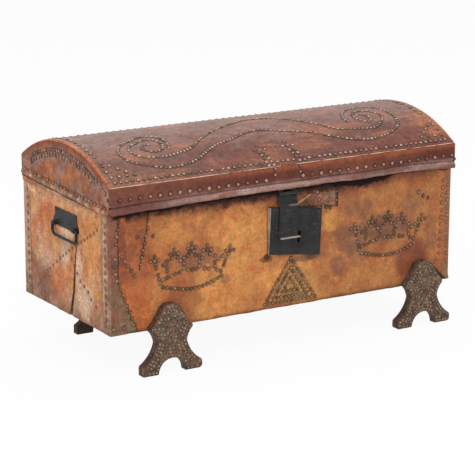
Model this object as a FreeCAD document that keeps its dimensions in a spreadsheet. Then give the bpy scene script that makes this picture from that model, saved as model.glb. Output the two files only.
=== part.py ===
import FreeCAD, Part
import math
import os
import Sketcher

# Dome-topped travelling chest: boards covered in leather, trimmed with rows of domed nails, with an
# iron lock, hasp, drop handles and strap hinges, on four feet. Z is up and the floor is at zero, X runs
# along the front, and the front faces -Y. All sizes are in millimetres.

SIZES = {
    # chest body
    "body_width": 900,
    "body_depth": 410,
    "body_height": 274,
    "floor_gap": 98,
    "leather": 3,
    "board": 16,
    # leather strips round the upright corners
    "strip": 1.5,
    "strip_on_front": 37,
    "strip_on_end": 29,
    "strip_notch_gap": 1,
    # lid: the skirt of boards stands in front of the body, and staves bridge it
    "skirt_stand_off": 6,
    "skirt_height": 53,
    "dome_rise": 63,
    "stave": 12,
    "lid_end_overhang": 2,
    "flap_drop": 8,
    "end_flap_drop": 9,
    # feet
    "foot_width": 150,
    "foot_plank": 20,
    "foot_leather": 2,
    "foot_head_rise": 58,
    "foot_arch_radius": 34,
    "foot_leather_lift": 2,
    "left_foot_inset": 139,
    "right_foot_inset": 83,
    "rear_foot_shift": 24,
    "rear_foot_setback": 329,
    "bearer_width": 36,
    "bearer_height": 10,
    # hinges on the back
    "hinge_spread": 520,
    "hinge_width": 44,
    "hinge_sheet": 2,
    "hinge_body_leaf": 80,
    "hinge_lid_leaf": 44,
    "hinge_roll_radius": 5,
    "hinge_pin_radius": 2.5,
    "hinge_middle_roll": 15,
    "hinge_pin_head": 3.6,
    "hinge_pin_head_depth": 1.2,
    "hinge_leaf_start": 4.5,
    "back_gap": 0.4,
    # hasp
    "hasp_centre": 8,
    "hasp_width": 50,
    "hasp_sheet": 2.5,
    "hasp_hinge_width": 46,
    "hasp_middle_roll": 21,
    "hasp_roll_radius": 4.5,
    "hasp_pin_radius": 2,
    "hasp_drop": 11,
    "hasp_leaf_sheet": 2.2,
    "hasp_leaf_height": 33,
    "hasp_shoulder": 6,
    "hasp_bend_start": 18,
    "hasp_joggle": 10,
    "hasp_case_gap": 0.5,
    "hasp_length": 93,
    "hasp_lip_reach": 8,
    "hasp_lip_radius": 4,
    # staple on the back of the hasp, and the bolt that passes through it
    "staple_width": 5,
    "staple_height": 20,
    "staple_bar": 4,
    "staple_tip": 2.5,
    "staple_centre_drop": 72,
    "staple_body_gap": 1.9,
    "bolt_height": 10,
    "bolt_thickness": 3,
    "bolt_length": 46,
    "bolt_stand_off": 5,
    "bolt_start": 7,
    "bolt_talon": 10,
    "bolt_talon_width": 6,
    "bolt_talon_place": 22,
    "guide_width": 8,
    "guide_height": 3,
    "first_guide_place": 1,
    "second_guide_place": 31,
    "slide_gap": 0.3,
    "spring_sheet": 1,
    "spring_width": 2,
    "spring_arch": 4,
    "spring_post": 8,
    "spring_post_height": 6,
    # lock case: a dished iron sheet, prouder at its top, over a flat back plate
    "case_left": 56,
    "case_right": 82,
    "case_drop": 38,
    "case_height": 108,
    "case_fall": 18,
    "case_proud_top": 14,
    "case_proud_bottom": 7,
    "case_sheet": 1.5,
    "back_plate": 1.2,
    "notch_width": 8,
    "notch_floor_gap": 1.5,
    "keyhole_place": 22.5,
    "keyhole_radius": 5.5,
    "keyhole_drop": 68,
    "keyhole_slot": 6,
    "keyhole_slot_height": 21,
    # drop handles on the ends
    "handle_setback": 201,
    "handle_width": 121,
    "handle_top_width": 104,
    "handle_height": 40,
    "handle_top_drop": 39,
    "handle_sheet": 1.5,
    "handle_lug_height": 12,
    "bail_radius": 3.2,
    "bail_drop": 31,
    "bail_corner": 13,
    "bail_elbow": 5,
    "eye_radius": 5.5,
    "eye_length": 8,
    "eye_stand_off": 6,
    "eye_arm_gap": 3,
    # fits, cuts and nails
    "pin_fit": 0.05,
    "roll_gap": 0.5,
    "overrun": 5,
    "nail_head": 8,
    "nail_rise": 2.2,
    "big_nail_head": 10,
    "big_nail_rise": 2.6,
    "foot_nail_head": 6.6,
    "foot_nail_rise": 2,
    "nail_shank": 10,
    "nail_wire": 1,
    "nail_gap": 0.4,
    "iron_head": 8,
    "iron_rise": 1.8,
    "iron_wire": 1.3,
    "iron_nail": 14,
    "long_iron_nail": 34,
    "case_nail": 25,
    "figure_pitch": 10.4,
    "loose_pitch": 14,
    "row_pitch": 24,
    "border_pitch": 18,
    "foot_pitch": 8,
    "foot_nail_inset": 6,
}

doc = FreeCAD.newDocument("dome_chest")
sheet = doc.addObject("Spreadsheet::Sheet", "Sizes")
for row, (alias, value) in enumerate(SIZES.items(), start=1):
    sheet.set("A%d" % row, alias.replace("_", " "))
    sheet.set("B%d" % row, str(value))
    sheet.setAlias("B%d" % row, alias)
doc.recompute()


class Size:
    """A length with the formula that gives it from the sheet."""

    def __init__(self, value, formula):
        self.value = float(value)
        self.formula = formula

    def __add__(self, other):
        other = as_size(other)
        return Size(self.value + other.value, "(%s + %s)" % (self.formula, other.formula))

    def __sub__(self, other):
        other = as_size(other)
        return Size(self.value - other.value, "(%s - %s)" % (self.formula, other.formula))

    def __mul__(self, other):
        other = as_size(other)
        return Size(self.value * other.value, "(%s * %s)" % (self.formula, other.formula))

    def __truediv__(self, other):
        other = as_size(other)
        return Size(self.value / other.value, "(%s / %s)" % (self.formula, other.formula))

    def __radd__(self, other):
        return as_size(other) + self

    def __rsub__(self, other):
        return as_size(other) - self

    def __rmul__(self, other):
        return as_size(other) * self

    def __neg__(self):
        return as_size(0) - self


def as_size(thing):
    return thing if isinstance(thing, Size) else Size(thing, "%.9g" % thing)


def root(size):
    return Size(math.sqrt(size.value), "sqrt(%s)" % size.formula)


def arc_sine(size):
    """The angle, in degrees, whose sine this is."""
    return Size(math.degrees(math.asin(size.value)), "(asin(%s) / 1 deg)" % size.formula)


def sine(degrees):
    return Size(math.sin(math.radians(degrees.value)), "sin(%s)" % degrees.formula)


def cosine(degrees):
    return Size(math.cos(math.radians(degrees.value)), "cos(%s)" % degrees.formula)


class Sheet:
    """Reads each alias of the sheet as a Size."""

    def __getattr__(self, alias):
        return Size(sheet.get(alias), "Sizes.%s" % alias)


S = Sheet()
Vector = FreeCAD.Vector
X_AXIS = Vector(1, 0, 0)
Y_AXIS = Vector(0, 1, 0)
Z_AXIS = Vector(0, 0, 1)
QUARTER = 90
NODES = []

# Main planes of the chest, worked out from the sheet.
front_reach = S.foot_plank + S.foot_leather + S.nail_rise
hinge_offset = S.hinge_roll_radius + S.back_gap
rear_reach = hinge_offset + S.hinge_roll_radius
half_body = S.body_width / 2
front = -(S.body_depth + front_reach + rear_reach) / 2 + front_reach
back = front + S.body_depth
bottom = S.floor_gap
rim = S.floor_gap + S.body_height
board_front = front + S.leather
board_back = back - S.leather
half_boards = half_body - S.leather

# The lid's boards and the arc of its dome.
lid_front = front - S.skirt_stand_off
lid_back = back - S.leather
half_lid_boards = half_body + S.lid_end_overhang
half_lid = half_lid_boards + S.leather
lid_chord = S.body_depth + S.skirt_stand_off + S.leather
dome_radius = (lid_chord * lid_chord / 4 + S.dome_rise * S.dome_rise) / (S.dome_rise * 2)
dome_y = (lid_front + lid_back) / 2
dome_z = rim + S.skirt_height + S.dome_rise - dome_radius
wood_radius = dome_radius - S.leather
inner_radius = wood_radius - S.stave
half_wood = lid_chord / 2 - S.leather
eaves = dome_z + root(wood_radius * wood_radius - half_wood * half_wood)
STAVES = 5
stave_angle = arc_sine(half_wood / wood_radius) * 2 / STAVES

# The hasp and lock, measured outwards from the body's front leather.
hasp_x = -S.hasp_centre
hasp_back = S.skirt_stand_off - S.hasp_leaf_sheet
hasp_axis_out = hasp_back + S.hasp_roll_radius
hasp_axis_z = rim - S.hasp_drop
case_top = rim - S.case_drop
case_slope = (S.case_proud_top - S.case_proud_bottom) / S.case_height
staple_z = rim - S.staple_centre_drop


def bind(thing, name, size):
    thing.setExpression(name, as_size(size).formula)


def place(thing, x, y, z):
    bind(thing, "Placement.Base.x", x)
    bind(thing, "Placement.Base.y", y)
    bind(thing, "Placement.Base.z", z)


def node(thing, label):
    """Marks an object as one of the chest's pieces."""
    thing.Label = label
    NODES.append(thing)
    return thing


def block(name, x, y, z):
    """A box between two values on each axis."""
    box = doc.addObject("Part::Box", name)
    bind(box, "Length", x[1] - x[0])
    bind(box, "Width", y[1] - y[0])
    bind(box, "Height", z[1] - z[0])
    place(box, x[0], y[0], z[0])
    return box


def rod(name, axis, start, radius, length):
    """A round bar from its start point along X or Y."""
    bar = doc.addObject("Part::Cylinder", name)
    bind(bar, "Radius", radius)
    bind(bar, "Height", length)
    if axis == X_AXIS:
        bar.Placement = FreeCAD.Placement(Vector(), FreeCAD.Rotation(Y_AXIS, QUARTER))
    else:
        bar.Placement = FreeCAD.Placement(Vector(), FreeCAD.Rotation(X_AXIS, -QUARTER))
    place(bar, *start)
    return bar


def fuse(name, *parts):
    joined = doc.addObject("Part::MultiFuse", name)
    joined.Shapes = list(parts)
    joined.Refine = True
    return joined


def cut(name, base, *tools):
    for count, tool in enumerate(tools, start=1):
        part = doc.addObject("Part::Cut", "%s_%d" % (name, count))
        part.Base = base
        part.Tool = tool
        part.Refine = True
        base = part
    return base


def line(end):
    return (end,)


def arc(middle, end):
    return (middle, end)


def spot(point):
    return Vector(as_size(point[0]).value, as_size(point[1]).value, 0)


def tie(sketch, geometry, end, point):
    """Holds one end of a sketch's line, or a point, at its two sizes."""
    for kind, size in zip(("DistanceX", "DistanceY"), point):
        size = as_size(size)
        index = sketch.addConstraint(Sketcher.Constraint(kind, -1, 1, geometry, end, size.value))
        sketch.setExpression("Constraints[%d]" % index, size.formula)


def sketch_on(body, plane, name, shift=None):
    """An empty sketch on one of the body's own planes, moved off it by the shift."""
    sketch = body.newObject("Sketcher::SketchObject", name)
    origin_plane = [item for item in body.Origin.OriginFeatures if item.Role == plane][0]
    sketch.AttachmentSupport = [(origin_plane, "")]
    sketch.MapMode = "FlatFace"
    for axis, size in zip("xyz", shift or ()):
        bind(sketch, "AttachmentOffset.Base.%s" % axis, size)
    return sketch


def draw(sketch, start, steps, closed=True):
    """Draws lines and arcs from the start, with every corner held by the sheet."""
    here = start
    last = None
    for step in steps:
        end = step[-1]
        if len(step) == 1:
            edge = Part.LineSegment(spot(here), spot(end))
        else:
            edge = Part.Arc(spot(here), spot(step[0]), spot(end))
        index = sketch.addGeometry(edge, False)
        # an arc is stored anticlockwise, so its first end may be the later one
        first = 1 if sketch.getPoint(index, 1).distanceToPoint(spot(here)) < S.pin_fit.value else 2
        if last is not None:
            sketch.addConstraint(Sketcher.Constraint("Coincident", last[0], last[1], index, first))
        if not closed or step is not steps[-1]:
            tie(sketch, index, 3 - first, end)
        if len(step) == 2:
            middle = sketch.addGeometry(Part.Point(spot(step[0])), True)
            sketch.addConstraint(Sketcher.Constraint("PointOnObject", middle, 1, index))
            tie(sketch, middle, 1, step[0])
        if last is None:
            begin = (index, first)
            tie(sketch, index, first, start)
        last = (index, 3 - first)
        here = end
    if closed:
        sketch.addConstraint(Sketcher.Constraint("Coincident", last[0], last[1], begin[0], begin[1]))
    return sketch


def plate(name, plane, start, steps, thickness, at=(0, 0, 0)):
    """A flat piece: a closed outline on one plane, made thick along that plane's normal."""
    body = doc.addObject("PartDesign::Body", name)
    sketch = draw(sketch_on(body, plane, name + "_outline"), start, steps)
    pad = body.newObject("PartDesign::Pad", name + "_pad")
    pad.Profile = sketch
    bind(pad, "Length", thickness)
    place(body, *at)
    return body


def polygon(points):
    """The steps of a closed outline with straight sides, after its first point."""
    return [line(point) for point in points[1:]] + [line(points[0])]


def make_boards():
    span = (-half_boards, half_boards)
    inside = (-half_boards + S.board, half_boards - S.board)
    depth = (board_front + S.board, board_back - S.board)
    height = (bottom, rim)
    node(block("bottom_board", inside, depth, (bottom, bottom + S.board)), "bottom_board")
    node(block("front_board", span, (board_front, depth[0]), height), "front_board")
    node(block("back_board", span, (depth[1], board_back), height), "back_board")
    node(block("left_end_board", (-half_boards, inside[0]), depth, height), "left_end_board")
    node(block("right_end_board", (inside[1], half_boards), depth, height), "right_end_board")


def make_leathers():
    span = (-half_body, half_body)
    depth = (board_front, board_back)
    height = (bottom, rim)
    node(block("front_leather", span, (front, board_front), height), "front_leather")
    node(block("back_leather", span, (board_back, back), height), "back_leather")
    node(block("left_end_leather", (-half_body, -half_boards), depth, height), "left_end_leather")
    node(block("right_end_leather", (half_boards, half_body), depth, height), "right_end_leather")


def make_corner_strip(label, side, face, outward):
    """An upright strip folded round a corner: side is -1 or 1 along X, outward -1 or 1 along Y."""
    outer_x = side * (half_body + S.strip)
    outer_y = face + outward * S.strip
    points = [
        (outer_x, outer_y),
        (side * (half_body - S.strip_on_front), outer_y),
        (side * (half_body - S.strip_on_front), face),
        (side * half_body, face),
        (side * half_body, face - outward * S.strip_on_end),
        (outer_x, face - outward * S.strip_on_end),
    ]
    name = label.replace("corner_", "")
    strip = plate(name, "XY_Plane", points[0], polygon(points), S.body_height, (0, 0, bottom))
    if label != "front_right_corner_strip":
        return node(strip, label)
    # the right foot's shoulder reaches under this strip, so the strip is cut away round it
    edge = right_foot_x + S.foot_width / 2 * SHOULDER_share + S.strip_notch_gap
    notch = block(
        "strip_notch",
        (half_body - S.strip_on_front - S.overrun, edge),
        (front - S.strip - S.overrun, front),
        (bottom - S.overrun, bottom + S.foot_head_rise * NECK_share),
    )
    return node(cut("notched_strip", strip, notch), label)


# The foot's outline, from the arch up to the top of its head. The first number is a share of half the
# foot's width. The second is a share of the gap under the chest, or above it of the head's rise.
TOE_TOP_share = 0.2
LEG_CURVE_shares = (0.64, 0.45)
WAIST_shares = (0.49, 0.71)
FLARE_shares = (0.56, 0.88)
SHOULDER_share = 0.68
SHOULDER_TIP_shares = (0.675, 0.1)
SHOULDER_END_shares = (0.61, 0.22)
NECK_share = 0.48
NECK_CURVE_shares = (0.45, NECK_share)
HEAD_shares = (0.3, 0.83)

left_foot_x = -half_body + S.left_foot_inset
right_foot_x = half_body - S.right_foot_inset
rear_foot_front = front + S.rear_foot_setback


def foot_point(side, shares, above=False):
    across = side * shares[0] * S.foot_width / 2
    if above:
        return (across, S.floor_gap + shares[1] * S.foot_head_rise)
    return (across, shares[1] * S.floor_gap)


def foot_leg(side):
    """The steps from one toe up to the shoulder."""
    half = side * S.foot_width / 2
    return [
        line((half, TOE_TOP_share * S.floor_gap)),
        arc(foot_point(side, LEG_CURVE_shares), foot_point(side, WAIST_shares)),
        arc(foot_point(side, FLARE_shares), (half * SHOULDER_share, S.floor_gap)),
    ]


def turned(start, steps):
    """The same outline walked the other way."""
    points = [start] + [point for step in steps for point in step]
    backwards = []
    index = len(points) - 1
    for step in reversed(steps):
        index -= len(step)
        backwards.append(tuple(reversed(points[index:index + len(step)])))
    return backwards


def foot_outline(lift, with_head):
    """A closed foot outline that starts at the right end of the arch."""
    half = S.foot_width / 2
    arch = S.foot_arch_radius
    half_arch = arch if lift is None else root(arch * arch - lift * lift)
    base = 0 if lift is None else lift
    right = [line((half, base))] + foot_leg(1)
    left = turned((-half, base), foot_leg(-1))
    if with_head:
        head_top = (0, S.floor_gap + S.foot_head_rise)
        crown = [
            arc(foot_point(1, SHOULDER_TIP_shares, True), foot_point(1, SHOULDER_END_shares, True)),
            arc(foot_point(1, NECK_CURVE_shares, True), foot_point(1, HEAD_shares, True)),
            arc(head_top, foot_point(-1, HEAD_shares, True)),
            arc(foot_point(-1, NECK_CURVE_shares, True), foot_point(-1, SHOULDER_END_shares, True)),
            arc(foot_point(-1, SHOULDER_TIP_shares, True), (-half * SHOULDER_share, S.floor_gap)),
        ]
    else:
        crown = [line((-half * SHOULDER_share, S.floor_gap))]
    under = [line((-half_arch, base)), arc((0, arch), (half_arch, base))]
    return (half_arch, base), right + crown + left + under


def make_feet():
    for side, x in (("left", left_foot_x), ("right", right_foot_x)):
        rear_x = x + S.rear_foot_shift if side == "left" else x - S.rear_foot_shift
        start, steps = foot_outline(None, True)
        label = "front_%s_foot" % side
        node(plate(label, "XZ_Plane", start, steps, S.foot_plank, (x, front, 0)), label)
        start, steps = foot_outline(S.foot_leather_lift, True)
        label = "front_%s_foot_leather" % side
        leather_y = front - S.foot_plank
        node(plate(label, "XZ_Plane", start, steps, S.foot_leather, (x, leather_y, 0)), label)
        start, steps = foot_outline(None, False)
        label = "rear_%s_foot" % side
        rear_y = rear_foot_front + S.foot_plank
        node(plate(label, "XZ_Plane", start, steps, S.foot_plank, (rear_x, rear_y, 0)), label)
        middle = (x + rear_x) / 2
        label = "%s_foot_bearer" % side
        across = (middle - S.bearer_width / 2, middle + S.bearer_width / 2)
        node(block(label, across, (front, rear_foot_front), (bottom - S.bearer_height, bottom)), label)


def joint_point(count):
    """Inner corner of the staves at one joint, counted in half staves from the crown."""
    angle = stave_angle * abs(count) / 2
    side = 1 if count > 0 else -1
    return (dome_y + side * inner_radius * sine(angle), dome_z + inner_radius * cosine(angle))


def facet_height(offset):
    """Height of the outermost stave's inner face at a distance from the lid's middle plane."""
    near = joint_point(STAVES - 2)
    far = joint_point(STAVES)
    slope = (far[1] - near[1]) / (far[0] - near[0])
    return near[1] + slope * (dome_y + offset - near[0])


def outer_point(count):
    angle = stave_angle * abs(count) / 2
    side = 1 if count > 0 else -1
    return (dome_y + side * wood_radius * sine(angle), dome_z + wood_radius * cosine(angle))


def make_staves():
    crown = (dome_y, dome_z + wood_radius)
    edge_front = (dome_y - half_wood, facet_height(half_wood))
    edge_back = (dome_y + half_wood, facet_height(half_wood))
    for number in range(STAVES):
        first = 2 * number - STAVES
        last = first + 2
        inner_first = edge_front if first == -STAVES else joint_point(first)
        inner_last = edge_back if last == STAVES else joint_point(last)
        outer_first = outer_point(first)
        outer_last = outer_point(last)
        middle = crown if first + last == 0 else outer_point(first + 1)
        steps = [
            line(inner_last),
            line(outer_last),
            arc(middle, outer_first),
            line(inner_first),
        ]
        label = "lid_stave_%d" % (number + 1)
        length = half_lid_boards * 2
        node(plate(label, "YZ_Plane", inner_first, steps, length, (-half_lid_boards, 0, 0)), label)


def make_lid_boards():
    low_edge = facet_height(half_wood)
    high_edge = facet_height(half_wood - S.board)
    between = (half_lid_boards - S.board) * 2
    start_x = -half_lid_boards + S.board
    front_points = [
        (lid_front, rim),
        (lid_front + S.board, rim),
        (lid_front + S.board, high_edge),
        (lid_front, low_edge),
    ]
    steps = polygon(front_points)
    front_board = plate("lid_front", "YZ_Plane", front_points[0], steps, between, (start_x, 0, 0))
    recess = block(
        "hasp_leaf_recess",
        (hasp_x - S.hasp_hinge_width / 2, hasp_x + S.hasp_hinge_width / 2),
        (lid_front - S.overrun, lid_front + S.hasp_leaf_sheet),
        (rim - S.overrun, rim + S.hasp_leaf_height),
    )
    node(cut("lid_front_cut", front_board, recess), "lid_front_board")
    back_points = [
        (lid_back, rim),
        (lid_back, low_edge),
        (lid_back - S.board, high_edge),
        (lid_back - S.board, rim),
    ]
    steps = polygon(back_points)
    back_board = plate("lid_back", "YZ_Plane", back_points[0], steps, between, (start_x, 0, 0))
    node(back_board, "lid_back_board")
    tops = [joint_point(count) for count in range(STAVES - 2, 1 - STAVES, -2)]
    end_points = [(lid_front, rim), (lid_back, rim), (lid_back, low_edge)] + tops
    end_points.append((lid_front, low_edge))
    for side, x in (("left", -half_lid_boards), ("right", half_lid_boards - S.board)):
        label = "lid_%s_end_board" % side
        node(plate(label, "YZ_Plane", end_points[0], polygon(end_points), S.board, (x, 0, 0)), label)


# How far the front flap's lower edge hangs below the rim, as shares of the deepest drop, at even
# steps from the left end to the right end.
FLAP_DROP_shares = (1.0, 0.68, 0.42, 0.2, 0.08, 0.25, 0.02, 0.18, 0.03, 0.25, 0.75)


def make_lid_leathers():
    half_chord = lid_chord / 2
    lip = rim + S.skirt_height
    crown = dome_z + wood_radius
    steps = [
        arc((dome_y, dome_z + dome_radius), (dome_y + half_chord, lip)),
        line((dome_y + half_chord, eaves)),
        line((lid_back, eaves)),
        arc((dome_y, crown), (lid_front, eaves)),
        line((dome_y - half_chord, eaves)),
        line((dome_y - half_chord, lip)),
    ]
    top = plate("lid_top_leather", "YZ_Plane", steps[-1][0], steps, half_lid * 2, (-half_lid, 0, 0))
    node(top, "lid_top_leather")

    count = len(FLAP_DROP_shares) - 1
    wave = []
    for index, share in enumerate(FLAP_DROP_shares):
        wave.append((half_lid * (2 * index / count - 1), rim - share * S.flap_drop))
    points = wave + [(half_lid, eaves), (-half_lid, eaves)]
    steps = polygon(points)
    flap = plate("lid_front_leather", "XZ_Plane", points[0], steps, S.leather, (0, lid_front, 0))
    node(flap, "lid_front_leather")

    span = (-half_lid, half_lid)
    node(block("lid_back_leather", span, (lid_back, back), (rim, eaves)), "lid_back_leather")

    hem = rim - S.end_flap_drop
    start = (lid_front, hem)
    steps = [
        line((lid_back, hem)),
        line((lid_back, eaves)),
        arc((dome_y, crown), (lid_front, eaves)),
        line(start),
    ]
    for side, x in (("left", -half_lid), ("right", half_lid_boards)):
        label = "lid_%s_end_leather" % side
        node(plate(label, "YZ_Plane", start, steps, S.leather, (x, 0, 0)), label)


def make_hinges():
    half = S.hinge_width / 2
    half_middle = S.hinge_middle_roll / 2
    axis_y = back + hinge_offset
    sheet_y = (back, back + S.hinge_sheet)
    neck_y = (back + S.back_gap, back + S.hinge_sheet)
    roll = S.hinge_roll_radius
    bore_radius = S.hinge_pin_radius + S.pin_fit
    for side, x in (("left", -S.hinge_spread / 2), ("right", S.hinge_spread / 2)):
        bore_start = (x - half - S.overrun, axis_y, rim)
        bore_length = S.hinge_width + S.overrun * 2
        outer = (
            (x - half, x - half_middle - S.roll_gap),
            (x + half_middle + S.roll_gap, x + half),
        )
        leaf_top = rim - S.hinge_leaf_start
        pieces = [block(side + "_body_sheet", (x - half, x + half), sheet_y,
                        (leaf_top - S.hinge_body_leaf, leaf_top))]
        for count, ends in enumerate(outer):
            name = "%s_body_roll_%d" % (side, count)
            pieces.append(block(name + "_neck", ends, neck_y, (leaf_top, rim)))
            pieces.append(rod(name, X_AXIS, (ends[0], axis_y, rim), roll, ends[1] - ends[0]))
        leaf = fuse(side + "_body_leaf", *pieces)
        bore = rod(side + "_body_bore", X_AXIS, bore_start, bore_radius, bore_length)
        node(cut(side + "_body_leaf_cut", leaf, bore), side + "_hinge_body_leaf")

        leaf_bottom = rim + S.hinge_leaf_start
        ends = (x - half_middle, x + half_middle)
        name = side + "_lid_roll"
        pieces = [
            block(side + "_lid_sheet", (x - half, x + half), sheet_y,
                  (leaf_bottom, leaf_bottom + S.hinge_lid_leaf)),
            block(name + "_neck", ends, neck_y, (rim, leaf_bottom)),
            rod(name, X_AXIS, (ends[0], axis_y, rim), roll, ends[1] - ends[0]),
        ]
        leaf = fuse(side + "_lid_leaf", *pieces)
        bore = rod(side + "_lid_bore", X_AXIS, bore_start, bore_radius, bore_length)
        node(cut(side + "_lid_leaf_cut", leaf, bore), side + "_hinge_lid_leaf")

        label = side + "_hinge_pin"
        shaft = rod(side + "_pin_shaft", X_AXIS, (x - half, axis_y, rim),
                    S.hinge_pin_radius, S.hinge_width)
        head_depth = S.hinge_pin_head_depth
        near = rod(side + "_pin_near_head", X_AXIS, (x - half - head_depth, axis_y, rim),
                   S.hinge_pin_head, head_depth)
        far = rod(side + "_pin_far_head", X_AXIS, (x + half, axis_y, rim), S.hinge_pin_head, head_depth)
        node(fuse(label, shaft, near, far), label)


def out(distance):
    """The Y of a point at this distance in front of the body's leather."""
    return front - distance


def strap_out(z):
    """How far out the back of the hasp lies where it rests along the sloping lock case."""
    return S.case_proud_top + S.hasp_case_gap - case_slope * (case_top - z)


def make_hasp():
    half = S.hasp_hinge_width / 2
    half_middle = S.hasp_middle_roll / 2
    roll = S.hasp_roll_radius
    bore_radius = S.hasp_pin_radius + S.pin_fit
    axis_y = out(hasp_axis_out)
    bore_start = (hasp_x - half - S.overrun, axis_y, hasp_axis_z)
    bore_length = S.hasp_hinge_width + S.overrun * 2
    outer = (
        (hasp_x - half, hasp_x - half_middle - S.roll_gap),
        (hasp_x + half_middle + S.roll_gap, hasp_x + half),
    )
    leaf_y = (out(S.skirt_stand_off), out(hasp_back))
    pieces = [block("hasp_leaf_sheet_part", (hasp_x - half, hasp_x + half), leaf_y,
                    (rim, rim + S.hasp_leaf_height))]
    for count, ends in enumerate(outer):
        name = "hasp_leaf_roll_%d" % count
        pieces.append(block(name + "_neck", ends, leaf_y, (hasp_axis_z, rim)))
        pieces.append(rod(name, X_AXIS, (ends[0], axis_y, hasp_axis_z), roll, ends[1] - ends[0]))
    leaf = fuse("hasp_leaf_whole", *pieces)
    bore = rod("hasp_leaf_bore", X_AXIS, bore_start, bore_radius, bore_length)
    node(cut("hasp_leaf_cut", leaf, bore), "hasp_leaf")

    pin_start = (hasp_x - half, axis_y, hasp_axis_z)
    pin = rod("hasp_pin", X_AXIS, pin_start, S.hasp_pin_radius, S.hasp_hinge_width)
    node(pin, "hasp_pin")

    # the strap's side view: down, out over the top of the lock case, along its slope, and a curled lip
    thick = S.hasp_sheet
    top = hasp_axis_z - S.hasp_shoulder
    bend = hasp_axis_z - S.hasp_bend_start
    ledge = bend - S.hasp_joggle
    foot = hasp_axis_z - S.hasp_length
    curl = S.hasp_lip_radius
    lip = S.hasp_lip_reach
    eased = curl * (1 - cosine(as_size(QUARTER / 2)))
    swung = curl * sine(as_size(QUARTER / 2))
    low = strap_out(foot)
    wide = curl + thick
    eased_wide = wide * (1 - cosine(as_size(QUARTER / 2)))
    swung_wide = wide * sine(as_size(QUARTER / 2))
    start = (out(hasp_back), top)
    steps = [
        line((out(hasp_back), bend)),
        line((out(strap_out(ledge)), ledge)),
        line((out(low), foot)),
        arc((out(low + eased_wide), foot - swung_wide), (out(low + wide), foot - wide)),
        line((out(low + wide + lip), foot - wide)),
        line((out(low + wide + lip), foot - curl)),
        line((out(low + wide), foot - curl)),
        arc((out(low + thick + eased), foot - swung), (out(low + thick), foot)),
        line((out(strap_out(ledge) + thick), ledge + thick / 2)),
        line((out(hasp_back + thick), bend + thick / 2)),
        line((out(hasp_back + thick), top)),
        line(start),
    ]
    left = hasp_x - S.hasp_width / 2
    strap = plate("hasp_strap", "YZ_Plane", start, steps, S.hasp_width, (left, 0, 0))
    ends = (hasp_x - half_middle, hasp_x + half_middle)
    neck = block("hasp_neck", ends, (out(hasp_back + thick), out(hasp_back)), (top, hasp_axis_z))
    middle = rod("hasp_roll", X_AXIS, (ends[0], axis_y, hasp_axis_z), roll, ends[1] - ends[0])
    whole = fuse("hasp_whole", strap, neck, middle)
    bore = rod("hasp_bore", X_AXIS, bore_start, bore_radius, bore_length)
    node(cut("hasp_cut", whole, bore), "hasp")

    staple_top = staple_z + S.staple_height / 2
    staple_foot = staple_z - S.staple_height / 2
    tip = out(S.staple_body_gap)
    points = [
        (out(strap_out(staple_foot)), staple_foot),
        (tip, staple_foot),
        (tip, staple_top),
        (out(strap_out(staple_top)), staple_top),
    ]
    left = hasp_x - S.staple_width / 2
    steps = polygon(points)
    loop = plate("hasp_staple_loop", "YZ_Plane", points[0], steps, S.staple_width, (left, 0, 0))
    eye = block(
        "hasp_staple_eye",
        (left - S.overrun, left + S.staple_width + S.overrun),
        (out(strap_out(staple_foot) + S.overrun), tip - S.staple_tip),
        (staple_foot + S.staple_bar, staple_top - S.staple_bar),
    )
    node(cut("hasp_staple_cut", loop, eye), "hasp_staple")


def case_corners(inset):
    """The lock case's leaning outline on the front, drawn in by the sheet's thickness."""
    fall = S.case_fall / (S.case_left + S.case_right)
    corners = []
    for x, side in ((-S.case_left, 1), (S.case_right, -1)):
        x = x + side * inset
        top = case_top - inset - fall * (x + S.case_left)
        low = case_top - S.case_height + inset - fall * (x + S.case_left)
        corners.append((x, top, low))
    (left, left_top, left_low), (right, right_top, right_low) = corners
    return [(left, left_low), (right, right_low), (right, right_top), (left, left_top)]


def case_solid(name, inset):
    """A leaning block whose front slopes in towards the bottom."""
    corners = case_corners(inset)
    depth = S.case_proud_top + S.overrun
    base = plate(name + "_outline", "XZ_Plane", corners[0], polygon(corners), depth, (0, front, 0))
    high = case_top + S.overrun
    low = case_top - S.case_height - S.case_fall - S.overrun
    profile = [
        (out(-S.overrun), low),
        (out(strap_out(low) - S.hasp_case_gap - inset), low),
        (out(strap_out(high) - S.hasp_case_gap - inset), high),
        (out(-S.overrun), high),
    ]
    reach = S.case_left + S.case_right + S.overrun * 2
    left = -S.case_left - S.overrun
    steps = polygon(profile)
    side = plate(name + "_side", "YZ_Plane", profile[0], steps, reach, (left, 0, 0))
    both = doc.addObject("Part::Common", name)
    both.Base = base
    both.Tool = side
    return both


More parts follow.
